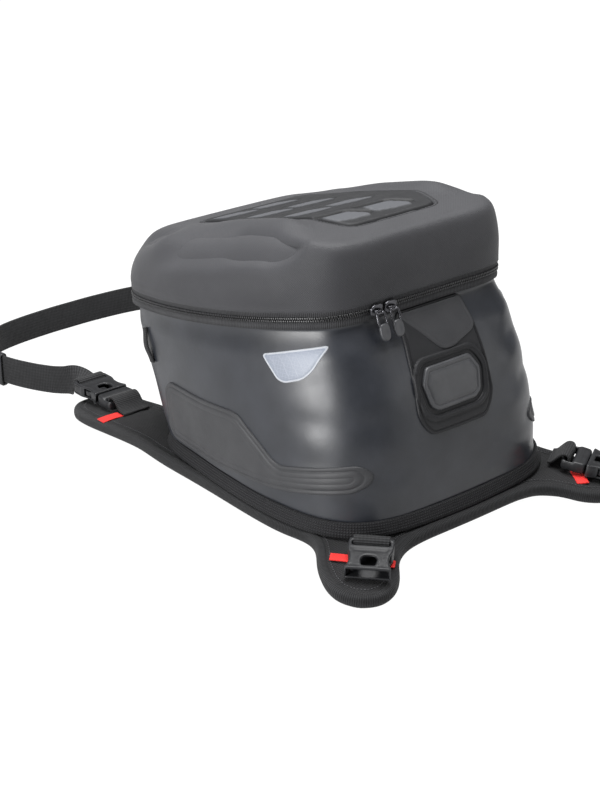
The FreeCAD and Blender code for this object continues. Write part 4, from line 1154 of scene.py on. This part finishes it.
# quilted pad on each leg: soft crown, then a stitched channel 7 mm in from the binding
onleg = np.maximum(smooth01(V[:, 1], 128, 140), smooth01((np.abs(V[:, 0]) - 82) * RD[0] + (V[:, 1] + 102) * RD[1], 8, 18))
crown = 0.5 * smooth01(D, 0.5, 9) * onleg - 0.55 * np.exp(-((D - 10.5) / 1.1) ** 2) * onleg
ripple = 0.16 * np.sin(V[:, 0] * 0.31 + 1.1) * np.sin(V[:, 1] * 0.27) * onleg
under_tub = inside(V, np.array(offset(base2, 2.0))) 
top = np.column_stack([V, zt + np.where(under_tub, -0.2, crown + ripple)])
bot = np.column_stack([V, zt - 9.3 + 0.25 * np.sin(V[:, 0] * 0.2) * np.sin(V[:, 1] * 0.2)])
P, F = solid_from(V, T, top, bot)
pan = smooth01(D, 10.5, 11.3) * onleg
sad = make("saddle_body", P, orient(P, F), M["saddle"], "bag", uv=np.vstack([V, V]), attrs={"panel": np.concatenate([pan, pan * 0])},
           replaces=("saddle_plate", "grip_sheet", "leg_pad_front_left", "leg_pad_front_right", "leg_pad_rear_left", "leg_pad_rear_right"))
cl = inset(OUT, 4.0)
path = np.column_stack([cl, sad_z(cl[:, 0], cl[:, 1]) - 4.1])
sec = np.array([(math.copysign(abs(math.cos(a)) ** 0.75, math.cos(a)) * 4.05, math.copysign(abs(math.sin(a)) ** 0.8, math.sin(a)) * 4.75) for a in np.linspace(0, 2 * np.pi, 20, endpoint=False)])
nrm = inset(path[:, :2], 1.0) - path[:, :2]
P, F, U = sweep(path, np.column_stack([nrm, np.zeros(len(nrm))]), sec, closed=True)
make("saddle_binding", P, orient(P, F), M["binding"], "bag", uv=U,
     replaces=("plate_binding", "leg_binding_front_left", "leg_binding_front_right", "leg_binding_rear_left", "leg_binding_rear_right"))
# lockstitch just inside the binding
ln = inset(OUT, 8.9)
sp = even(ln, 1150, True)
P_, F_, U_ = [], [], []
k = 0
pc = np.column_stack([sp, sad_z(sp[:, 0], sp[:, 1]) + 0.35])
for i in range(0, len(pc), 2):
    if inside(sp[i:i + 1], np.array(offset(base2, 1.0)))[0]:
        continue
    a, b = pc[i], pc[(i + 1) % len(pc)]
    t = (b - a) / (np.linalg.norm(b - a) + 1e-9)
    p, f, u = sweep(np.array([a, a + (b - a) * .2 + (0, 0, .28), a + (b - a) * .8 + (0, 0, .28), b]), np.cross((0, 0, 1.0), t), rrect(0.62, 0.45, 0.18, 2))
    P_.append(p)
    U_.append(u)
    F_ += [tuple(q + k for q in g) for g in f]
    k += len(p)
make("saddle_stitching", np.vstack(P_), F_, M["thread"], "bag", uv=np.vstack(U_))

# ------------------------------------------------------------------ buckles


class At:
    """A buckle's own frame: local +Y runs out of the male part and into the female one."""

    def __init__(self, x, y, z, d, pitch=0.0):
        ang = math.atan2(d[1], d[0]) - math.pi / 2
        self.M = Matrix.Translation((x, y, z)) @ Matrix.Rotation(ang, 4, "Z") @ Matrix.Rotation(math.radians(pitch), 4, "X")
        self.A = np.array(self.M)

    def __call__(self, P):
        P = np.asarray(P, float)
        return P @ self.A[:3, :3].T + self.A[:3, 3]

    def vec(self, v):
        return self.A[:3, :3] @ np.asarray(v, float)


FL_, FR_ = At(-80, 206, 19, (0, 1)), At(80, 206, 19, (0, 1))
RR_, RL_ = At(119, -128, 20.8, (0.5, -0.866), -8.0), At(-115.5, -141.5, 18.5, (0.743, 0.669), 9.4)


def shifted(part, dz=0.0, dy=0.0):
    p, f, u = part
    return p + np.array((0, dy, dz)), f, u


def male_mesh(tag, fr):
    slot = rounded([(-12.8, -15.5), (12.8, -15.5), (12.8, -10.9), (-12.8, -10.9)], 1.6)
    out = rounded([(-14.6, -18.5), (14.6, -18.5), (15.0, -15.5), (15.0, -6.5), (14.3, -1.6), (12.2, -0.1), (-12.2, -0.1), (-14.3, -1.6), (-15.0, -6.5), (-15.0, -15.5)],
                  [4, 4, 2, 3, 2, 1.5, 1.5, 2, 3, 2])

    def zf(V, D, zt, zb):
        # bar thinner than the shoulder, three grip ribs on the shoulder
        bar = 1 - smooth01(V[:, 1], -11.2, -8.4)
        rib = sum(np.exp(-((V[:, 1] - q) / 0.5) ** 2) for q in (-6.6, -4.7, -2.8)) * (1 - smooth01(np.abs(V[:, 0]), 8.5, 10.5)) * smooth01(D, 0.6, 1.4)
        return zt - 1.1 * bar + 0.45 * rib, zb + 0.9 * bar
    a = pillow(out, (slot,), 8.5, 1.5, step=1.3, bstep=0.9, zfun=zf)
    g = pillow(rounded([(-3, -1.5), (3, -1.5), (3, 15), (1.8, 19), (-1.8, 19), (-3, 15)], 1.5), (), 3.2, 0.8, step=1.5, bstep=1.0)
    P, F, U = merge([a, g])
    return make("buckle_end_male_" + tag, fr(P), F, M["plastic"], "bag", uv=U, replaces=("buckle_male_" + tag,))


def prong_mesh(tag, fr, s, sn):
    pts = [(s * 6.4, 0.3), (s * 9.2, 0.3), (s * 9.9, 5.5), (s * 10.6, 8.2), (s * 13.4, 11.4), (s * 13.8, 14.5), (s * 13.5, 17.2), (s * 11.2, 20.9), (s * 8.6, 20.9), (s * 7.8, 12.0)]
    if s < 0:
        pts = pts[::-1]

    def zf(V, D, zt, zb):
        ribs = 0.28 * np.sin(V[:, 1] * 4.2) * smooth01(np.abs(V[:, 0]), 11.2, 12.6) * smooth01(D, 0.3, 0.9)
        return zt + ribs, zb - ribs
    P, F, U = pillow(rounded(pts, 1.3), (), 4.4, 1.0, step=1.1, bstep=0.8, zfun=zf)
    return make("buckle_arm_%s_%s" % (tag, sn), fr(P), orient(P, F), M["plastic"], "prong_%s_%s" % (tag, sn), uv=U,
                replaces=("buckle_prong_%s_%s" % (tag, sn),))


def female_mesh(tag, fr, body):
    out = rounded([(-15.3, 0.4), (15.3, 0.4), (15.5, 2.6), (13.9, 6.4), (13.2, 10.5), (13.6, 16.0), (15.2, 20.0), (15.5, 23.5), (15.5, 31.2), (14.2, 33.4),
                   (-14.2, 33.4), (-15.5, 31.2), (-15.5, 23.5), (-15.2, 20.0), (-13.6, 16.0), (-13.2, 10.5), (-13.9, 6.4), (-15.5, 2.6)],
                  [1.2, 1.2, 2.5, 3, 3, 3, 3, 3, 2, 1.5, 1.5, 2, 3, 3, 3, 3, 3, 2.5])
    slot = rounded([(-12.8, 25.2), (12.8, 25.2), (12.8, 29.8), (-12.8, 29.8)], 1.6)
    win = rounded([(-4.6, 4.2), (4.6, 4.2), (5.6, 11.0), (3.4, 14.6), (-3.4, 14.6), (-5.6, 11.0)], 2.0)

    def ztop(V, D, zt, zb):
        # a hollow towards the windows, a raised bead round the edge, a lip at the mouth
        bead = 0.35 * np.exp(-((D - 1.4) / 0.7) ** 2)
        lip = 0.5 * np.exp(-((V[:, 1] - 1.3) / 1.1) ** 2) * (np.abs(V[:, 0]) < 15)
        return zt + bead * (V[:, 1] > 3) + lip - 0.3 * np.exp(-((V[:, 1] - 19.5) / 0.8) ** 2) * (np.abs(V[:, 0]) < 11), zb
    top = shifted(pillow(out, (slot, win), 1.75, 0.8, step=1.35, bstep=0.9, zfun=ztop), 3.87)
    bot = shifted(pillow(out, (slot,), 1.75, 0.8, step=2.2, bstep=1.1), -3.87)
    parts = [top, bot]
    blk = rounded([(-15.2, 22.9), (15.2, 22.9), (15.4, 31.2), (14.0, 33.3), (-14.0, 33.3), (-15.4, 31.2)], [1, 1, 2, 1.5, 1.5, 2])
    parts.append(pillow(blk, (slot,), 6.6, 1.0, step=1.8, bstep=1.0))
    for s in (-1, 1):
        w1 = [(s * 14.3, 0.6), (s * 15.4, 0.6), (s * 15.4, 2.6), (s * 14.2, 5.8), (s * 13.7, 9.4), (s * 12.9, 9.4), (s * 13.1, 5.6), (s * 14.2, 2.6)]
        w2 = [(s * 13.2, 18.4), (s * 14.4, 18.4), (s * 15.3, 21.0), (s * 15.3, 24.0), (s * 13.6, 24.0), (s * 13.6, 20.5)]
        for w in (w1, w2):
            if s < 0:
                w = w[::-1]
            parts.append(pillow(rounded(w, 0.4), (), 7.4, 0.3, step=1.2, bstep=0.8))
    P, F, U = merge(parts)
    return make("buckle_end_female_" + tag, fr(P), F, M["plastic"], body, uv=U, replaces=("buckle_female_" + tag,))


for tag, fr in (("front_left", FL_), ("front_right", FR_), ("rear_right", RR_)):
    male_mesh(tag, fr)
    prong_mesh(tag, fr, -1, "l")
    prong_mesh(tag, fr, 1, "r")
female_mesh("front_left", FL_, "front_strap")
female_mesh("front_right", FR_, "front_strap")
female_mesh("rear_right", RR_, "rear_strap")
female_mesh("rear_left", RL_, "bag")

WEB = rrect(24.6, 1.7, 0.75, 4)


def strap(name, pts, n, fr, body, node, width=24.6):
    """Webbing on a path in a buckle's local YZ plane."""
    path = ospline([(0, y, z) for y, z in pts], n)
    W = fr(path)
    sec = rrect(width, 1.7, 0.75, 4)
    P, F, U = sweep(W, fr.vec((1, 0, 0)), sec)
    ob = make(name, P, orient(P, F), M["webbing"], body, uv=U, replaces=(node,) if node else ())
    return ob


for tag, fr in (("front_left", FL_), ("front_right", FR_)):
    strap("loop_" + tag, [(-35.5, -2.3), (-30, -1.4), (-25.5, 1.2), (-22.5, 4.4), (-19.5, 6.3), (-16.5, 6.6), (-14.2, 5.4), (-13.3, 2.2), (-13.2, -2.0), (-14.6, -4.5), (-18.5, -5.0)],
          60, fr, "bag", "web_loop_" + tag)
strap("loop_rear_right", [(-28.5, -3.4), (-25.5, -2.0), (-22.5, 2.0), (-19.5, 5.6), (-16.5, 6.6), (-14.2, 5.4), (-13.3, 2.2), (-13.2, -2.0), (-14.4, -4.2), (-17.5, -4.8)],
      60, RR_, "bag", "web_loop_rear_right")
strap("loop_rear_left", [(42.5, -1.9), (39.5, -1.2), (37.0, 1.6), (34.8, 4.6), (31.8, 6.3), (29.3, 5.6), (27.7, 2.6), (27.5, -1.5), (28.6, -4.4), (31.6, -5.2)],
      60, RL_, "bag", "web_loop_rear_left")

# ------------------------------------------------------------------ front strap
FS = [(-80.0, 238.0), (-80.6, 243.0), (-83.0, 252.0), (-92.0, 268.0), (-104.0, 288.0), (-113.0, 310.0), (-115.5, 332.0), (-110.0, 352.0), (-98.0, 368.0), (-80.0, 379.0), (-55.0, 385.5),
      (-24.0, 389.0), (0.0, 389.5)]
FS = FS + [(-x, y) for x, y in FS[-2::-1]]
path2 = ospline(FS, 420)
s_ = perim(path2)
Ls = s_[-1]
end = np.minimum(s_, Ls - s_)
tw = smooth01(end, 3.0, 26.0)
zc = 19.0 + (14.6 - 19.0) * smooth01(end, 0, 40) + 0.9 * np.sin(s_ * 0.021) * smooth01(end, 30, 90)
path = np.column_stack([path2, zc])
tan = np.gradient(path2, axis=0)
tan /= np.linalg.norm(tan, axis=1)[:, None]
hor = np.column_stack([tan[:, 1], -tan[:, 0], np.zeros(len(tan))])
acr = hor * np.cos(tw * math.pi / 2)[:, None] + np.array([0, 0, 1.0]) * np.sin(tw * math.pi / 2)[:, None]
half = s_ > Ls / 2
acr[half] = (hor * -np.cos(tw * math.pi / 2)[:, None] + np.array([0, 0, 1.0]) * np.sin(tw * math.pi / 2)[:, None])[half]
P, F, U = sweep(path, acr, WEB)
web = make("front_strap", P, orient(P, F), M["webbing"], "front_strap", uv=U, replaces=("front_strap_webbing",))
FRONT_STRAP_LEN = Ls
for tag, fr, nm in (("front_left", FL_, "l"), ("front_right", FR_, "r")):
    # free end folded through the female's slot and sewn back on the strap as a small roll
    strap("front_fold_" + tag, [(37.5, 2.4), (35.8, 4.4), (32.6, 6.0), (29.2, 5.8), (27.6, 3.0), (27.5, -1.5), (28.6, -4.9), (32.0, -6.0), (35.6, -4.0), (37.6, -1.2)],
          70, fr, "front_strap", "front_strap_folds" if nm == "l" else None)
for sx, nm in ((-1, "left"), (1, "right")):
    a = math.radians(sx * -6.0)
    c = np.array([sx * 114.2, 320.5, 14.5])
    i = np.argmin(np.linalg.norm(path - c, axis=1))
    t = np.gradient(path, axis=0)[i]
    t /= np.linalg.norm(t)
    o = np.cross(t, (0, 0, 1.0))
    loop = even(rounded([(-2.75, -13.6), (2.75, -13.6), (2.75, 13.6), (-2.75, 13.6)], 1.6, 5), 64, True)
    cen = path[i].copy()
    cen[2] = 14.6
    pth = cen + loop[:, :1] * o + loop[:, 1:2] * np.array([0, 0, 1.0])
    P, F, U = sweep(pth, t, rrect(8.6, 1.7, 0.6, 4), closed=True)
    ob = make("strap_keeper_" + nm, P, orient(P, F), M["plastic"], "front_strap", uv=U, replaces=("strap_keepers",) if sx < 0 else ())

# ------------------------------------------------------------------ rear strap: fold, short tail and the spare webbing packed in a bundle
tail = [(29.0, 5.6), (27.6, 3.0), (27.5, -1.5), (28.8, -4.8), (33.0, -5.0), (40.0, -3.6), (50.0, -3.0), (60.0, -2.6)]
serp = [(60.0, -2.6)]
lay = [4.6, 2.2, -0.4, -3.0, -5.6]
REAR_PTS = [(38.0, 3.2), (34.5, 5.4), (31.5, 6.3)] + tail
z = -5.2
y0, y1 = 64.0, 97.0
for k in range(5):
    zz = -5.4 + 2.55 * k
    a_, b_ = (y0, y1) if k % 2 == 0 else (y1, y0)
    REAR_PTS += [(a_ + (2 if k % 2 == 0 else -2), zz), (0.5 * (a_ + b_), zz + 0.15), (b_ - (2 if k % 2 == 0 else -2), zz)]
    if k < 4:
        REAR_PTS += [(b_ + (0.9 if k % 2 == 0 else -0.9), zz + 1.27)]
rs = strap("rear_strap_band", REAR_PTS, 420, RR_, "rear_strap", "rear_strap_webbing")
band = even(rounded([(-13.2, -6.9), (13.2, -6.9), (13.2, 7.6), (-13.2, 7.6)], 2.0, 5), 72, True)
pth = RR_(np.column_stack([band[:, 0], np.full(len(band), 80.5), band[:, 1]]))
P, F, U = sweep(pth, RR_.vec((0, 1, 0)), rrect(9.0, 1.1, 0.4, 3), closed=True)
make("rear_strap_tie", P, orient(P, F), M["binding"], "rear_strap", uv=U)

# ------------------------------------------------------------------ red finger tabs
def tab(name, c, ang, ln, w, body, node=None, lift=1.1, fold=False):
    a = math.radians(ang)
    t = np.linspace(-ln / 2, ln / 2, 26)
    xy = np.column_stack([c[0] + t * math.cos(a), c[1] + t * math.sin(a)])
    z = sad_z(xy[:, 0], xy[:, 1]) + lift + 0.35 * np.sin(np.linspace(0, np.pi, 26))
    P, F, U = sweep(np.column_stack([xy, z]), (-math.sin(a), math.cos(a), 0), rrect(w, 1.0, 0.35, 3))
    return make(name, P, orient(P, F), M["red"], body, uv=U, replaces=(node,) if node else ())


tab("finger_tab_front_left", (-101.5, 176.5), 0, 19.0, 9.0, "bag", "finger_tabs_front")
tab("finger_tab_front_right", (101.5, 176.5), 0, 19.0, 9.0, "bag")
tab("finger_tab_rear_left", (-102.5, -122.5), -48.0, 44.0, 9.0, "bag", "finger_tabs_rear")
tab("finger_tab_rear_right", (105.0, -132.0), 60.0, 17.0, 9.0, "bag")

# ------------------------------------------------------------------ zip sliders and pulls
for nm, x0 in (("a", -48.0), ("b", -35.5)):
    # slider: wedge-shaped plate and a bridge, on the rear face (local z to -Y)
    A = Matrix.Translation((x0, -69.0 - 3.6, rim_z(-69.0) + 4.8)) @ Matrix.Rotation(math.radians(90), 4, "X")
    A = np.array(A)
    pl = rounded([(-5.5, -2.6), (-2.5, -4.3), (4.0, -4.3), (5.5, -2.9), (5.5, 2.9), (4.0, 4.3), (-2.5, 4.3), (-5.5, 2.6)], 1.2)
    a = pillow(pl, (), 2.4, 0.8, step=1.0, bstep=0.8)
    arch = ospline([(-2.6, 0, 1.0), (-2.3, 0, 2.5), (-1.0, 0, 3.4), (1.0, 0, 3.4), (2.3, 0, 2.5), (2.6, 0, 1.0)], 22)
    b = sweep(arch, (0, 1.0, 0), rrect(2.6, 0.9, 0.35, 3))
    P, F, U = merge([a, b])
    P = P @ A[:3, :3].T + A[:3, 3]
    make("slider_" + nm, P, F, M["metal"], "slider_" + nm, uv=U, replaces=("zip_slider_" + nm,))
    B = np.array(Matrix.Translation((x0, -69.0 - 2.3 - 5.6, rim_z(-69.0) + 4.0)) @ Matrix.Rotation(math.radians(68), 4, "X"))
    # metal yoke and a moulded grip with a rounded end
    yoke = ospline([(-1.3, -0.2, 0), (-2.6, 0.4, 0), (-3.4, -0.9, 0), (-3.7, -4.0, 0), (-3.5, -8.0, 0), (-1.9, -10.2, 0), (0, -10.7, 0), (1.9, -10.2, 0), (3.5, -8.0, 0), (3.7, -4.0, 0), (3.4, -0.9, 0), (2.6, 0.4, 0), (1.3, -0.2, 0)], 90)
    sec = np.array([(0.85 * math.cos(q), 0.85 * math.sin(q)) for q in np.linspace(0, 2 * np.pi, 10, endpoint=False)])
    y_ = sweep(yoke, (0, 0, 1.0), sec)
    bar = sweep(np.array([(-2.2, -0.1, 0), (-1.0, 0.0, 0), (1.0, 0.0, 0), (2.2, -0.1, 0)]), (0, 0, 1.0), sec * 0.9)
    P, F, U = merge([y_, bar])
    P = P @ B[:3, :3].T + B[:3, 3]
    yk = make("pull_yoke_" + nm, P, orient(P, F), M["metal"], "pull_" + nm, uv=U)
    gp = rounded([(-2.6, -7.4), (2.6, -7.4), (4.1, -9.6), (4.25, -15.0), (3.2, -18.4), (0, -19.6), (-3.2, -18.4), (-4.25, -15.0), (-4.1, -9.6)], 2.2)

    def gz(V, D, zt, zb):
        dish = 0.5 * np.exp(-(((V[:, 0]) / 2.4) ** 2 + ((V[:, 1] + 14) / 3.2) ** 2))
        return zt - dish, zb + dish
    P, F, U = pillow(gp, (), 3.0, 1.2, step=0.9, bstep=0.7, zfun=gz)
    P = P @ B[:3, :3].T + B[:3, 3]
    make("pull_grip_" + nm, P, orient(P, F), M["badge"], "pull_" + nm, uv=U, replaces=("zip_pull_" + nm,))

# ------------------------------------------------------------------ CAD nodes that stay
SKIN_OF = {"base_board": M["board"]}
for n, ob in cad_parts.items():
    if not ob.hide_render:
        ob.data.materials.clear()
        ob.data.materials.append(SKIN_OF.get(n, M["plastic"]))

# ------------------------------------------------------------------ floor, lights, camera
def stage_mesh(name, verts, faces, mat):
    me = bpy.data.meshes.new(name)
    me.from_pydata(verts, [], faces)
    me.materials.append(mat)
    ob = bpy.data.objects.new(name, me)
    bpy.context.scene.collection.objects.link(ob)
    return ob


m = Mat("studio_floor", (0.06, 0.06, 0.06), 0.9, Specular_IOR_Level=0.0)
m.color(m.ramp(m.noise(6, 2), [(0.2, (0.05, 0.05, 0.05)), (0.8, (0.07, 0.07, 0.07))]))
m.b.inputs["Emission Color"].default_value = (1, 1, 1, 1)
m.b.inputs["Emission Strength"].default_value = 1.0
stage_mesh("studio_floor", [(-6, -6, -0.0006), (6, -6, -0.0006), (6, 6, -0.0006), (-6, 6, -0.0006)], [(0, 1, 2, 3)], m.m)

world = bpy.data.worlds.new("studio")
bpy.context.scene.world = world
world.use_nodes = True
bg = world.node_tree.nodes["Background"]
bg.inputs["Color"].default_value = (1, 1, 1, 1)
bg.inputs["Strength"].default_value = 0.20


def area(name, pos, target, size, power, size_y=None, color=(1, 1, 1)):
    li = bpy.data.lights.new(name, "AREA")
    li.energy = power
    li.color = color
    li.shape = "RECTANGLE"
    li.size = size
    li.size_y = size_y or size
    ob = bpy.data.objects.new(name, li)
    bpy.context.scene.collection.objects.link(ob)
    ob.location = pos
    d = Vector(target) - Vector(pos)
    ob.rotation_euler = d.to_track_quat("-Z", "Y").to_euler()
    return ob


area("key_left", (-1.7, -0.10, 0.40), (0, 0, 0.12), 0.42, 40, size_y=1.0)
area("rim_right", (1.15, -1.35, 0.55), (0, 0, 0.1), 0.5, 3.4, size_y=0.8)
area("top", (0.1, 0.2, 1.9), (0, 0, 0.1), 1.35, 90)
cam = bpy.data.cameras.new("camera")
cam.lens = 76.5
cam.sensor_width = 36.0
cam.clip_start, cam.clip_end = 0.05, 50
co = bpy.data.objects.new("camera", cam)
bpy.context.scene.collection.objects.link(co)
r, u, b = (0.7638, -0.6455, 0.0), (0.2656, 0.3143, 0.9114), (-0.5883, -0.6961, 0.4115)
co.matrix_world = Matrix(((r[0], u[0], b[0], -0.776385), (r[1], u[1], b[1], -0.85495), (r[2], u[2], b[2], 0.5832), (0, 0, 0, 1)))
bpy.context.scene.camera = co
bpy.context.scene.view_settings.view_transform = "Standard"
bpy.context.scene.view_settings.look = "None"

bpy.context.view_layer.update()
